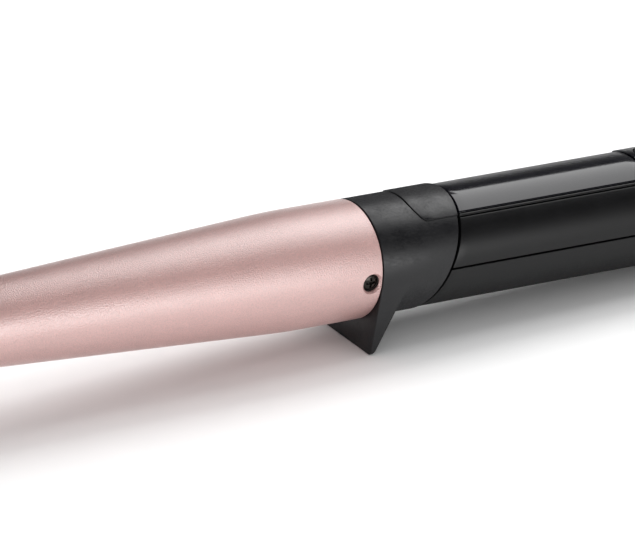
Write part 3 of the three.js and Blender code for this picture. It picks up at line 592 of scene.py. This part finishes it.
LOOKS = {
    "rose_coating": look(
        "rose_coating", (0.566, 0.357, 0.336), 0.72, metallic=0.8, mottle=0.02, grain=3000,
        spread=0.12, relief=1.0, depth=0.00012, coat=1.0, coat_roughness=0.31, coat_ior=2.1,
        fleck=0.2,
    ),
    "matte_black": look(
        "matte_black", (0.004, 0.004, 0.0055), 0.4, relief=0.4, ior=1.43, grain=1800, patch=260,
        spread=0.08, cloud=0.06, rim=0.6,
    ),
    "satin_black": look(
        "satin_black", (0.003, 0.003, 0.0035), 0.35, relief=0.1, ior=1.34, grain=1800, patch=200,
        cloud=0.02, rim=0.65,
    ),
    "gloss_black": look(
        "gloss_black", (0.003, 0.003, 0.005), 0.075, grain=400, spread=0.02, relief=0.01, ior=1.42,
        rim=0.45,
    ),
    "heat_plastic": look("heat_plastic", (0.03, 0.02, 0.018), 0.6, relief=0.2),
    "smoked_window": look(
        "smoked_window", (0.30, 0.05, 0.05), 0.08, relief=0.01, transmission=0.6, soft_edge=0,
    ),
    "cast_aluminium": look("cast_aluminium", (0.62, 0.63, 0.64), 0.45, metallic=1, relief=0.4),
    "white_ceramic": look("white_ceramic", (0.80, 0.78, 0.72), 0.5, relief=0.1),
    "zinc_steel": look("zinc_steel", (0.55, 0.57, 0.58), 0.32, metallic=1, mottle=0.1),
    "black_steel": look("black_steel", (0.018, 0.015, 0.013), 0.16, metallic=0.8, mottle=0.15),
    "brass": look("brass", (0.75, 0.55, 0.22), 0.3, metallic=1, mottle=0.08),
    "board_green": look("board_green", (0.02, 0.12, 0.05), 0.4, mottle=0.2, patch=700),
    "component_black": look("component_black", (0.012, 0.012, 0.014), 0.5, relief=0.1),
    "component_blue": look("component_blue", (0.03, 0.08, 0.33), 0.35, mottle=0.08),
    "fibre_sleeve": look(
        "fibre_sleeve", (0.62, 0.58, 0.48), 0.8, mottle=0.15, patch=1500, relief=0.6,
    ),
}

NODE_LOOKS = {
    "rose_coating": ["barrel_shell"],
    "matte_black": [
        "cool_tip", "stand_collar", "collar_insert", "minus_button", "plus_button", "power_button",
        "cord_swivel",
    ],
    "satin_black": [
        "handle_upper_shell", "handle_lower_shell", "trim_strip_left", "trim_strip_right", "end_cap",
    ],
    "gloss_black": ["top_cover", "control_panel"],
    "heat_plastic": ["tip_insulator", "barrel_holder", "contact_carrier"],
    "smoked_window": ["indicator_window"],
    "cast_aluminium": ["heat_spreader_upper", "heat_spreader_lower", "triac_heat_sink"],
    "white_ceramic": ["ceramic_heater", "temperature_sensor"],
    "zinc_steel": ["tip_screw", "thermal_fuse", "swivel_clip"],
    "black_steel": [
        "barrel_screw_left", "barrel_screw_right", "handle_screw_front", "handle_screw_rear",
        "end_cap_screw",
    ],
    "brass": [
        "slip_ring_live", "slip_ring_neutral", "contact_spring_live", "contact_spring_neutral",
    ],
    "board_green": ["circuit_board"],
    "component_black": [
        "minus_switch", "plus_switch", "power_switch", "triac", "mains_lead_live",
        "mains_lead_neutral",
    ],
    "component_blue": ["indicator_lights", "capacitor"],
    "fibre_sleeve": ["neutral_lead", "live_lead_front", "live_lead_rear", "sensor_lead"],
}

for look_name, node_names in NODE_LOOKS.items():
    for node_name in node_names:
        node_mesh = frame["nodes"][node_name].data
        node_mesh.materials.clear()
        node_mesh.materials.append(LOOKS[look_name])


def finished(name, mesh, body="wand", sharp=SHARP):
    """Add a piece that stands for the CAD node of the same name and has its look."""
    slot = next(look_name for look_name, names in NODE_LOOKS.items() if name in names)
    mesh.name = name + "_fine"
    mesh.transform(FROM_WAND)
    mesh.polygons.foreach_set("use_smooth", [True] * len(mesh.polygons))
    mesh.set_sharp_from_angle(angle=radians(sharp))
    mesh.materials.clear()
    mesh.materials.append(LOOKS[slot])
    made = bpy.data.objects.new(name + "_fine", mesh)
    bpy.context.scene.collection.objects.link(made)
    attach(made, body)
    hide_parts(name)


def make_barrel():
    end = -BARREL_LENGTH
    inside_end = end + BARREL_END_WALL
    taper = (BARREL_RADIUS - BARREL_TIP_RADIUS) / (BARREL_LENGTH - BARREL_PARALLEL)
    inside_tip = BARREL_TIP_RADIUS + taper * BARREL_END_WALL - BARREL_WALL
    inside = BARREL_RADIUS - BARREL_WALL
    cup = turned([
        (end, TIP_HOLE),
        (end, BARREL_TIP_RADIUS, BARREL_RIM),
        (-BARREL_PARALLEL, BARREL_RADIUS, BARREL_EASE),
        (0, BARREL_RADIUS, BARREL_RIM),
        (0, inside, BARREL_RIM / 2),
        (-BARREL_PARALLEL, inside, BARREL_EASE),
        (inside_end, inside_tip),
        (inside_end, TIP_HOLE),
    ])
    cutters = []
    for side in (-1, 1):
        cutters.append(turned_across(BARREL_SCREW_X, side, [
            (BARREL_SCREW_END, 0),
            (BARREL_SCREW_END, BARREL_HOLE),
            (BARREL_RADIUS - BARREL_HOLE_SINK, BARREL_HOLE),
            (BARREL_RADIUS, BARREL_HOLE_RIM),
            (BARREL_RADIUS + BEYOND, BARREL_HOLE_RIM),
            (BARREL_RADIUS + BEYOND, 0),
        ]))
    finished("barrel_shell", combined(cup, cutters), sharp=SHARP_ON_CURVES)


def cross_cutters(x, reach, depth, along):
    """Two blocks that cut a cross recess into a screw at x that points along axis 1 or 2."""
    arm = SLOT_WIDTH / 2
    cutters = []
    for wide in range(3):
        if wide == along:
            continue
        spans = [(-arm, arm)] * 3
        spans[wide] = (-reach, reach)
        spans[along] = depth
        low, high = spans[0]
        cutters.append(block((x + low, x + high), spans[1], spans[2]))
    return cutters


def make_barrel_screw(name, side):
    body = turned_across(BARREL_SCREW_X, side, [
        (BARREL_SCREW_END, 0),
        (BARREL_SCREW_END, BARREL_SCREW_SHANK, SCREW_POINT),
        (BARREL_SCREW_SEAT, BARREL_SCREW_SHANK),
        (BARREL_SCREW_SEAT, BARREL_SCREW_HEAD, SCREW_EDGE),
        (BARREL_SCREW_TOP - BARREL_SCREW_DOME, BARREL_SCREW_HEAD, SCREW_EDGE),
        *dome(BARREL_SCREW_TOP, BARREL_SCREW_DOME, BARREL_SCREW_HEAD),
        (BARREL_SCREW_TOP, 0),
    ])
    depth = sorted((side * (BARREL_SCREW_TOP - SLOT_DEPTH), side * (BARREL_SCREW_TOP + BEYOND)))
    reach = BARREL_SCREW_HEAD - SLOT_WIDTH
    finished(name, combined(body, cross_cutters(BARREL_SCREW_X, reach, depth, 1)))


def make_tip():
    finished("tip_insulator", turned([
        (INSULATOR_FRONT, TIP_HOLE),
        (INSULATOR_FRONT, TIP_RIM_RADIUS, RIM_EDGE),
        (INSULATOR_REAR, TIP_RIM_RADIUS, RIM_EDGE),
        (INSULATOR_REAR, TIP_HOLE),
    ]))
    hollow_front = TIP_FRONT + TIP_NOSE_ROUND + TIP_WALL
    finished("cool_tip", turned([
        (TIP_FRONT, 0),
        (TIP_FRONT, TIP_NOSE_RADIUS - TIP_NOSE_DRAFT, TIP_NOSE_ROUND),
        (TIP_REAR, TIP_RIM_RADIUS, SOFT_RIM),
        (TIP_REAR, TIP_RIM_RADIUS - TIP_WALL),
        (hollow_front, TIP_NOSE_RADIUS - TIP_WALL),
        (hollow_front, TIP_BOSS),
        (TIP_REAR, TIP_BOSS),
        (TIP_REAR, TIP_HOLE),
        (TIP_PILOT_END, TIP_HOLE),
        (TIP_PILOT_END, 0),
    ]))


def insert_front(grow):
    """The insert's front edge: straight in the middle and elliptical at its two corners."""
    def edge(y, z):
        beyond = max(abs(y) - (INSERT_HALF_WIDTH - INSERT_CORNER_WIDTH), 0)
        share = min(beyond / (INSERT_CORNER_WIDTH + grow), 1)
        back = INSERT_FRONT + INSERT_CORNER_LENGTH
        return back - (INSERT_CORNER_LENGTH + grow) * sqrt(1 - share ** 2)
    return edge


def stand_rim():
    """Outline of the collar and its stand from the front: points in y and z."""
    shoulder = sqrt(COLLAR_RADIUS ** 2 - STAND_SHOULDER ** 2)
    start = -degrees(asin(STAND_SHOULDER / COLLAR_RADIUS))
    count = TURN // 2
    rim = []
    for k in range(count + 1):
        angle = radians(start + (180 - 2 * start) * k / count)
        rim.append((COLLAR_RADIUS * cos(angle), COLLAR_RADIUS * sin(angle)))
    lower = rounded([
        (-shoulder, -STAND_SHOULDER),
        (-STAND_HALF_WIDTH, -STAND_DEPTH, STAND_CORNER),
        (STAND_HALF_WIDTH, -STAND_DEPTH, STAND_CORNER),
        (shoulder, -STAND_SHOULDER),
    ], closed=False, steps=2 * ROUND_STEPS)
    for start_point, end_point in zip(lower, lower[1:]):
        a, b = Vector(start_point), Vector(end_point)
        parts = max(1, round((b - a).length / RIM_PITCH))
        rim.extend(tuple(a.lerp(b, k / parts)) for k in range(1, parts + 1))
    return rim[:-1]


def make_collar():
    rows = []
    for y, z in stand_rim():
        reach = hypot(y, z)
        up = z / reach
        ledge = reach - COLLAR_RADIUS
        smallest = LEDGE_SHARE * ledge if ledge > LEAST_LEDGE else 0
        fillet = min(STAND_FILLET, smallest)
        back_edge = min(STAND_EDGE, smallest)

        def back(radius):
            return STAND_BACK + SLANT * radius * up

        def rim(radius):
            return COLLAR_LENGTH + SLANT * radius * up

        line = rounded([
            (COLLAR_FRONT, COLLAR_BORE, COLLAR_EDGE),
            (COLLAR_FRONT, reach, COLLAR_EDGE),
            (back(reach), reach, back_edge),
            (back(COLLAR_RADIUS), COLLAR_RADIUS, fillet),
            (rim(COLLAR_RADIUS), COLLAR_RADIUS, COLLAR_EDGE),
            (rim(COLLAR_BORE), COLLAR_BORE, COLLAR_EDGE),
        ])
        row = []
        for x, radius in line:
            low = radius * up
            share = max((-low - COLLAR_RADIUS) / (STAND_DEPTH - COLLAR_RADIUS), 0)
            lean = share * (x - COLLAR_FRONT - STAND_SOLE / 2) * tan(TILT)
            row.append((x, radius * y / reach, low + lean))
        rows.append(row)
    floor = INSERT_RADIUS - INSERT_THICKNESS - FIT
    recess = skin(
        arched(
            INSERT_HALF_WIDTH + INSERT_LINE, floor, INSERT_RADIUS + BEYOND / 2,
            CUTTER_EDGE, FINE_ANGLE_PITCH,
        ),
        insert_front(INSERT_LINE),
        level(HANDLE_END / 2),
        edge=CUTTER_EDGE,
        pitch=HANDLE_END,
    )
    collar = combined(mesh_of(*grid(rows)), [recess])
    finished("stand_collar", collar, sharp=SHARP_ON_CURVES)
    finished("collar_insert", skin(
        arched(
            INSERT_HALF_WIDTH, INSERT_RADIUS - INSERT_THICKNESS, INSERT_RADIUS,
            pitch=FINE_ANGLE_PITCH,
        ),
        insert_front(0),
        collar_edge,
    ))


def recessed_sections():
    """The upper shell's sections with the strips' recess, and the same without it."""
    parting = degrees(PARTING_LINE / 2 / HANDLE_RADIUS)
    half_width = COVER_HALF_WIDTH + COVER_LINE + STRIP_WIDTH + STRIP_LINE
    wall = side_angle(half_width, HANDLE_RADIUS)
    turn = degrees(1 / HANDLE_RADIUS)
    side = [s for s in band(parting, 180 - parting, HANDLE_BORE, HANDLE_RADIUS) if s[0] < wall - 1]
    for k in range(ROUND_STEPS + 1):
        angle = pi / 2 * k / ROUND_STEPS
        at = wall - EDGE * turn * (1 - sin(angle))
        side.append((at, HANDLE_BORE, HANDLE_RADIUS - EDGE * (1 - cos(angle))))
    floor = []
    count = round((180 - 2 * wall) / ANGLE_PITCH)
    for k in range(count + 1):
        floor.append((wall + (180 - 2 * wall) * k / count, HANDLE_BORE, FLOOR_RADIUS))
    mirrored = [(180 - a, inner, outer) for a, inner, outer in reversed(side)]
    cut = side + floor + mirrored
    plain = [(a, i, o if abs(a - 90) > LONG_EDGE else HANDLE_RADIUS) for a, i, o in cut]
    return cut, plain


def spigot(start, end):
    """One shell's half of the spigot that reaches into the collar."""
    parting = degrees(SHUT_LINE / 2 / SPIGOT_RADIUS)
    sections = band(start + parting, end - parting, SPIGOT_BORE, SPIGOT_RADIUS)
    return skin(sections, level(SPIGOT_FRONT), level(SPIGOT_END))


def rod_up(x, low, high, radius, facets=TURN // 3):
    """An upright cylinder on the middle plane."""
    return turned_up(x, [(low, 0), (low, radius), (high, radius), (high, 0)], facets)


def button_holes():
    """Cutters for the buttons' holes in the upper shell and the panel."""
    top = HANDLE_RADIUS + BEYOND
    radius = BUTTON_RADIUS + BUTTON_ROOM
    places = [middle_x(name + "_button") for name in BUTTONS]
    return [rod_up(x, BOARD_TOP, top, radius, TURN // 2) for x in places]


def make_upper_shell():
    cut, plain = recessed_sections()
    change = (COVER_END + FIT, plain)
    shell = skin(cut, handle_edge, level(HANDLE_END), change=change)
    parting = SHUT_LINE / 2
    bosses = [rod_up(x, parting, BOSS_TOP, BOSS_RADIUS) for x in HANDLE_SCREW_PLACES]
    shell = combined(shell, [spigot(0, 180), *bosses], "UNION")
    cutters = button_holes()
    pilot_top = HANDLE_SCREW_TOP + FIT
    for x in HANDLE_SCREW_PLACES:
        cutters.append(rod_up(x, -parting, pilot_top, HANDLE_SCREW_SHANK + THREAD_GAP))
    cutters.append(block(
        (WINDOW_X - GUIDE_HALF_LENGTH - FIT, WINDOW_X + GUIDE_HALF_LENGTH + FIT),
        (-GUIDE_HALF_WIDTH - FIT, GUIDE_HALF_WIDTH + FIT),
        (BOARD_TOP, HANDLE_RADIUS + BEYOND),
    ))
    finished("handle_upper_shell", combined(shell, cutters))


def lip(seam, way):
    """A lip behind the parting line at one side; way is 1 where the lower shell's angles grow.

    It clears the upper shell's wall and runs into the lower shell's."""
    inner = HANDLE_BORE - LIP_THICKNESS
    rows = [(-LIP_ANGLE, FIT / 2), (0, FIT / 2), (LIP_ANGLE / 3, -FIT), (LIP_ANGLE, -FIT)]
    sections = [(seam + way * turn, inner, HANDLE_BORE - gap) for turn, gap in rows]
    return skin(sorted(sections), level(LIP[0]), level(LIP[1]))


def make_lower_shell():
    parting = degrees(PARTING_LINE / 2 / HANDLE_RADIUS)
    sections = band(180 + parting, 360 - parting, HANDLE_BORE, HANDLE_RADIUS)
    shell = skin(sections, handle_edge, level(HANDLE_END))
    joined = [spigot(180, 360), lip(180, 1), lip(360, -1)]
    cutters = []
    low = -HANDLE_RADIUS - BEYOND
    for x in HANDLE_SCREW_PLACES:
        joined.append(rod_up(x, -WALL_MIDDLE, SCREW_COLUMN_TOP, SCREW_COLUMN))
        joined.append(rod_up(x, -WALL_MIDDLE + FIT, -SHUT_LINE / 2, BOSS_RADIUS))
        cutters.append(rod_up(x, low, HANDLE_SCREW_SEAT + FIT, HANDLE_SCREW_HEAD + FIT))
        cutters.append(rod_up(x, low, FIT, HANDLE_SCREW_SHANK + THREAD_GAP))
    for x in PILLAR_PLACES:
        for side in (-PILLAR_SIDE, PILLAR_SIDE):
            joined.append(block(
                (x - PILLAR_HALF, x + PILLAR_HALF),
                (side - PILLAR_HALF, side + PILLAR_HALF),
                (PILLAR_LOW, PILLAR_TOP),
            ))
    cutters.append(rod_up(CAP_SCREW_X, low, CAP_SCREW_SEAT + FIT, CAP_SCREW_HEAD + FIT))
    cutters.append(rod_up(CAP_SCREW_X, low, -SPINDLE_RADIUS, CAP_SCREW_SHANK + THREAD_GAP))
    shell = combined(shell, joined, "UNION")
    finished("handle_lower_shell", combined(shell, cutters))


def upright_screw(name, x, low, seat, top, head, shank, slot):
    """A screw driven in from below, with a cross recess as deep as slot."""
    body = turned_up(x, [
        (low, 0),
        (low, head, SCREW_HEAD_EDGE),
        (seat, head, SCREW_EDGE),
        (seat, shank),
        (top, shank, SCREW_POINT),
        (top, 0),
    ], TURN // 3)
    reach = head - SLOT_WIDTH
    cutters = cross_cutters(x, reach, (low - BEYOND, low + slot), 2)
    finished(name, combined(body, cutters))


def panel_front(y, z):
    """The panel's front edge: straight, with a quarter circle at each corner."""
    beyond = max(abs(y) - (COVER_HALF_WIDTH - PANEL_CORNER), 0)
    share = min(beyond / PANEL_CORNER, 1)
    return PANEL_FRONT + PANEL_CORNER * (1 - sqrt(1 - share ** 2))


def window_end(way, grow):
    """A round end of the window, towards the cord where way is 1 and the barrel where it is -1."""
    def end(y, z):
        share = min(abs(y) / (WINDOW_HALF_WIDTH + grow), 1)
        bulge = (WINDOW_HALF_WIDTH + grow) * sqrt(1 - share ** 2)
        return WINDOW_X + way * (WINDOW_REACH + bulge)
    return end


def window_plate(grow, inner, outer, edge):
    """The window's outline as a plate, larger all round by grow."""
    half_width = WINDOW_HALF_WIDTH + grow
    sections = arched(half_width, inner, outer, edge, WINDOW_ANGLE_PITCH)
    return skin(sections, window_end(-1, grow), window_end(1, grow), edge, WINDOW_LENGTH_PITCH)


def make_cover_and_panel():
    cover = arched(COVER_HALF_WIDTH, COVER_INNER, HANDLE_RADIUS)
    finished("top_cover", skin(cover, handle_edge, level(PANEL_FRONT - SHUT_LINE), COVER_EDGE))
    near = side_angle(COVER_HALF_WIDTH + COVER_LINE, HANDLE_RADIUS)
    far = side_angle(COVER_HALF_WIDTH + COVER_LINE + STRIP_WIDTH, HANDLE_RADIUS)
    left = band(far, near, COVER_INNER, HANDLE_RADIUS, STRIP_EDGE)
    right = band(180 - near, 180 - far, COVER_INNER, HANDLE_RADIUS, STRIP_EDGE)
    finished("trim_strip_left", skin(left, handle_edge, level(COVER_END)))
    finished("trim_strip_right", skin(right, handle_edge, level(COVER_END)))
    panel = skin(
        arched(COVER_HALF_WIDTH, COVER_INNER, PANEL_RADIUS, pitch=PANEL_ANGLE_PITCH),
        panel_front,
        level(COVER_END),
    )
    opening = window_plate(
        INSERT_LINE, COVER_INNER - BEYOND, PANEL_RADIUS + BEYOND, CUTTER_EDGE,
    )
    finished("control_panel", combined(panel, [*button_holes(), opening]))
    guide = block(
        (WINDOW_X - GUIDE_HALF_LENGTH, WINDOW_X + GUIDE_HALF_LENGTH),
        (-GUIDE_HALF_WIDTH, GUIDE_HALF_WIDTH),
        (GUIDE_LOW, COVER_INNER + FIT),
    )
    pane = window_plate(0, COVER_INNER, PANEL_RADIUS, EDGE / 2)
    finished("indicator_window", combined(pane, [guide], "UNION"))


def make_button(name):
    mesh = turned_up(middle_x(name + "_button"), [
        (STEM_LOW, 0),
        (STEM_LOW, STEM_RADIUS, BUTTON_EDGE),
        (BUTTON_FLANGE_TOP - BUTTON_FLANGE, STEM_RADIUS),
        (BUTTON_FLANGE_TOP - BUTTON_FLANGE, BUTTON_RIM),
        (BUTTON_FLANGE_TOP, BUTTON_RIM),
        (BUTTON_FLANGE_TOP, BUTTON_RADIUS),
        (BUTTON_TOP - BUTTON_DOME, BUTTON_RADIUS, BUTTON_EDGE),
        *dome(BUTTON_TOP, BUTTON_DOME, BUTTON_RADIUS),
        (BUTTON_TOP, 0),
    ])
    finished(name + "_button", mesh, body=name + "_key")


def make_end():
    shoulder_x = (CAP_BAND_END + CAP_REAR) / 2
    shoulder = (HANDLE_RADIUS + CAP_REAR_RADIUS) / 2 + (HANDLE_RADIUS - CAP_REAR_RADIUS) / 4
    cap = turned([
        (CAP_SPIGOT_FRONT, CAP_SPIGOT_BORE),
        (CAP_SPIGOT_FRONT, CAP_SPIGOT_RADIUS, RIM_EDGE),
        (CAP_FRONT, CAP_SPIGOT_RADIUS),
        (CAP_FRONT, HANDLE_RADIUS, CAP_EDGE),
        (CAP_BAND_END, HANDLE_RADIUS, CAP_BEND),
        (shoulder_x, shoulder, CAP_SHOULDER_BEND),
        (CAP_REAR, CAP_REAR_RADIUS, CAP_REAR_EDGE),
        (CAP_REAR, SPINDLE_RADIUS + FIT, CAP_EDGE),
        (CAP_REAR - CAP_WALL, SPINDLE_RADIUS + FIT),
        (CAP_REAR - CAP_WALL, CAP_REAR_RADIUS - CAP_WALL),
        (CAP_BAND_END, CAP_SPIGOT_BORE),
    ])
    low = -HANDLE_RADIUS - BEYOND
    pilot = rod_up(CAP_SCREW_X, low, -SPINDLE_RADIUS, CAP_SCREW_SHANK + THREAD_GAP)
    finished("end_cap", combined(cap, [pilot]))
    swivel = turned([
        (SPINDLE_FRONT, 0),
        (SPINDLE_FRONT, SPINDLE_RADIUS, SOFT_RIM),
        (GLAND_FRONT, SPINDLE_RADIUS),
        (GLAND_FRONT, GLAND_FLANGE_RADIUS, RIM_EDGE),
        (GLAND_FRONT + GLAND_FLANGE, GLAND_FLANGE_RADIUS, GLAND_FLANGE_ROUND),
        (GLAND_REAR, GLAND_END_RADIUS, GLAND_END_ROUND),
        (GLAND_REAR, CORD_BORE, RIM_EDGE),
        (CORD_BORE_FRONT, CORD_BORE),
        (CORD_BORE_FRONT, 0),
    ])
    finished("cord_swivel", swivel, body="swivel")


make_barrel()
make_barrel_screw("barrel_screw_left", 1)
make_barrel_screw("barrel_screw_right", -1)
make_tip()
make_collar()
make_upper_shell()
make_lower_shell()
for screw_name, screw_x in zip(("handle_screw_front", "handle_screw_rear"), HANDLE_SCREW_PLACES):
    upright_screw(
        screw_name, screw_x, HANDLE_SCREW_LOW, HANDLE_SCREW_SEAT, HANDLE_SCREW_TOP,
        HANDLE_SCREW_HEAD, HANDLE_SCREW_SHANK, SLOT_DEPTH,
    )
upright_screw(
    "end_cap_screw", CAP_SCREW_X, CAP_SCREW_LOW, CAP_SCREW_SEAT, -CAP_SPIGOT_BORE,
    CAP_SCREW_HEAD, CAP_SCREW_SHANK, SLOT_DEPTH / 2,
)
make_cover_and_panel()
for button in BUTTONS:
    make_button(button)
make_end()

# Camera
CAMERA_AZIMUTH = -35.971  # degrees from the side that the wand is seen from, -y, towards +x
CAMERA_ELEVATION = 25.572
CAMERA_ROLL = 4.756
CAMERA_TARGET = Vector((-0.009873, -0.000526, 0.018661))
CAMERA_DISTANCE = 2.0
CAMERA_LENS = 430.83
CAMERA_SENSOR = 36
CAMERA_CLIP_END = 100

# Two softboxes overhead, a fill that leaves no highlight, and a strip that leaves nothing else.
# Each lamp has a name, place, turn, size, radiance, and whether it lights matt and glossy surfaces.
FACING_DOWN = (0, 0, 0)
FACING_BACK = (pi / 2, 0, 0)
LAMPS = [
    ("softbox_left", (0.585, 0.255, 1.0), FACING_DOWN, (0.47, 0.85), 4.1, True, True),
    ("softbox_right", (1.2, 0.415, 1.0), FACING_DOWN, (0.76, 1.17), 4.1, True, True),
    ("fill", (0.4, 0.68, 1.0), FACING_DOWN, (2.2, 0.9), 2.5, True, False),
    ("strip", (-0.11, -0.6, 0.1), FACING_BACK, (0.98, 0.2), 4.8, False, True),
]

# Floor, in metres
FLOOR_SIDE = (-6, 6)
FLOOR_HEIGHT = (-0.02, -0.0001)
FLOOR_ROUGHNESS = 0.9
FLOOR_SPECULAR = 0.1
FLOOR_TINT = (0.82, 0.84)
FIBRE_SCALE = 900

# Room: its brightness from 0 at the horizon in front, over a half overhead, to 1 at the horizon
# behind. It is pale low down in front, with dark flags higher up that the lamps stand out against.
FLAG = 0.05
ROOM_IN_GLOSS = [
    (0.0, 1.2), (0.04, 1.1), (0.10, 0.7), (0.17, 0.25), (0.26, FLAG), (0.80, FLAG), (0.88, 0.12),
    (0.93, 0.25), (1.0, 0.5),
]
ROOM_AS_LIGHT = [(0.0, 0.8), (0.5, 0.8), (0.62, 0.35), (1.0, 0.35)]
ROOM_SEEN = 1  # plain white to the camera and through glass


def make_camera():
    azimuth = radians(CAMERA_AZIMUTH)
    elevation = radians(CAMERA_ELEVATION)
    roll = radians(CAMERA_ROLL)
    towards = Vector((
        sin(azimuth) * cos(elevation),
        -cos(azimuth) * cos(elevation),
        sin(elevation),
    ))
    level_right = Vector((cos(azimuth), sin(azimuth), 0))
    level_up = towards.cross(level_right)
    right = level_right * cos(roll) + level_up * sin(roll)
    camera = bpy.data.objects.new("camera", bpy.data.cameras.new("camera"))
    camera.data.lens = CAMERA_LENS
    camera.data.sensor_width = CAMERA_SENSOR
    camera.data.clip_end = CAMERA_CLIP_END
    turn = Matrix((right, towards.cross(right), towards)).transposed().to_4x4()
    camera.matrix_world = Matrix.Translation(CAMERA_TARGET + towards * CAMERA_DISTANCE) @ turn
    bpy.context.scene.collection.objects.link(camera)
    bpy.context.scene.camera = camera


def make_lamp(name, place, turn, size, radiance, lights_matt, lights_gloss):
    light = bpy.data.lights.new(name, "AREA")
    light.shape = "RECTANGLE"
    light.size, light.size_y = size
    light.energy = radiance * pi * size[0] * size[1]
    lamp = bpy.data.objects.new(name, light)
    lamp.location = place
    lamp.rotation_euler = turn
    lamp.visible_camera = False
    lamp.visible_diffuse = lights_matt
    lamp.visible_glossy = lights_gloss
    bpy.context.scene.collection.objects.link(lamp)


def make_floor():
    floor = bpy.data.objects.new("floor", block(FLOOR_SIDE, FLOOR_SIDE, FLOOR_HEIGHT))
    bpy.context.scene.collection.objects.link(floor)
    paper = bpy.data.materials.new("paper")
    paper.use_nodes = True
    nodes = paper.node_tree.nodes
    links = paper.node_tree.links
    surface = nodes["Principled BSDF"]
    surface.inputs["Roughness"].default_value = FLOOR_ROUGHNESS
    surface.inputs["Specular IOR Level"].default_value = FLOOR_SPECULAR
    fibres = nodes.new("ShaderNodeTexNoise")
    fibres.inputs["Scale"].default_value = FIBRE_SCALE
    tint = nodes.new("ShaderNodeMapRange")
    tint.inputs["To Min"].default_value, tint.inputs["To Max"].default_value = FLOOR_TINT
    links.new(fibres.outputs["Fac"], tint.inputs["Value"])
    links.new(tint.outputs["Result"], surface.inputs["Base Color"])
    floor.data.materials.append(paper)


def make_room():
    world = bpy.data.worlds.new("room")
    bpy.context.scene.world = world
    world.use_nodes = True
    tree = world.node_tree
    background = tree.nodes["Background"]
    background.inputs["Color"].default_value = (1, 1, 1, 1)
    rays = tree.nodes.new("ShaderNodeLightPath").outputs
    place = tree.nodes.new("ShaderNodeTexCoord")
    split = tree.nodes.new("ShaderNodeSeparateXYZ")
    tree.links.new(place.outputs["Generated"], split.inputs["Vector"])
    front = worked_out(tree, "MULTIPLY", split.outputs["Y"], -1)
    angle = worked_out(tree, "ARCTAN2", split.outputs["Z"], front)
    height = worked_out(tree, "DIVIDE", angle, pi)

    def brightness(stops):
        ramp = tree.nodes.new("ShaderNodeValToRGB")
        tree.links.new(height, ramp.inputs["Fac"])
        elements = ramp.color_ramp.elements
        while len(elements) < len(stops):
            elements.new(0.5)
        for element, (at, value) in zip(elements, stops):
            element.position = at
            element.color = (value, value, value, 1)
        return ramp.outputs["Color"]

    mirrored = worked_out(tree, "MULTIPLY", rays["Is Glossy Ray"], brightness(ROOM_IN_GLOSS))
    lit = worked_out(tree, "MULTIPLY", rays["Is Diffuse Ray"], brightness(ROOM_AS_LIGHT))
    direct = worked_out(tree, "MAXIMUM", rays["Is Camera Ray"], rays["Is Transmission Ray"])
    seen = worked_out(tree, "MULTIPLY", direct, ROOM_SEEN)
    strength = worked_out(tree, "ADD", worked_out(tree, "ADD", mirrored, lit), seen)
    tree.links.new(strength, background.inputs["Strength"])


make_camera()
for lamp in LAMPS:
    make_lamp(*lamp)
make_floor()
make_room()

bpy.context.scene.view_settings.view_transform = "Standard"
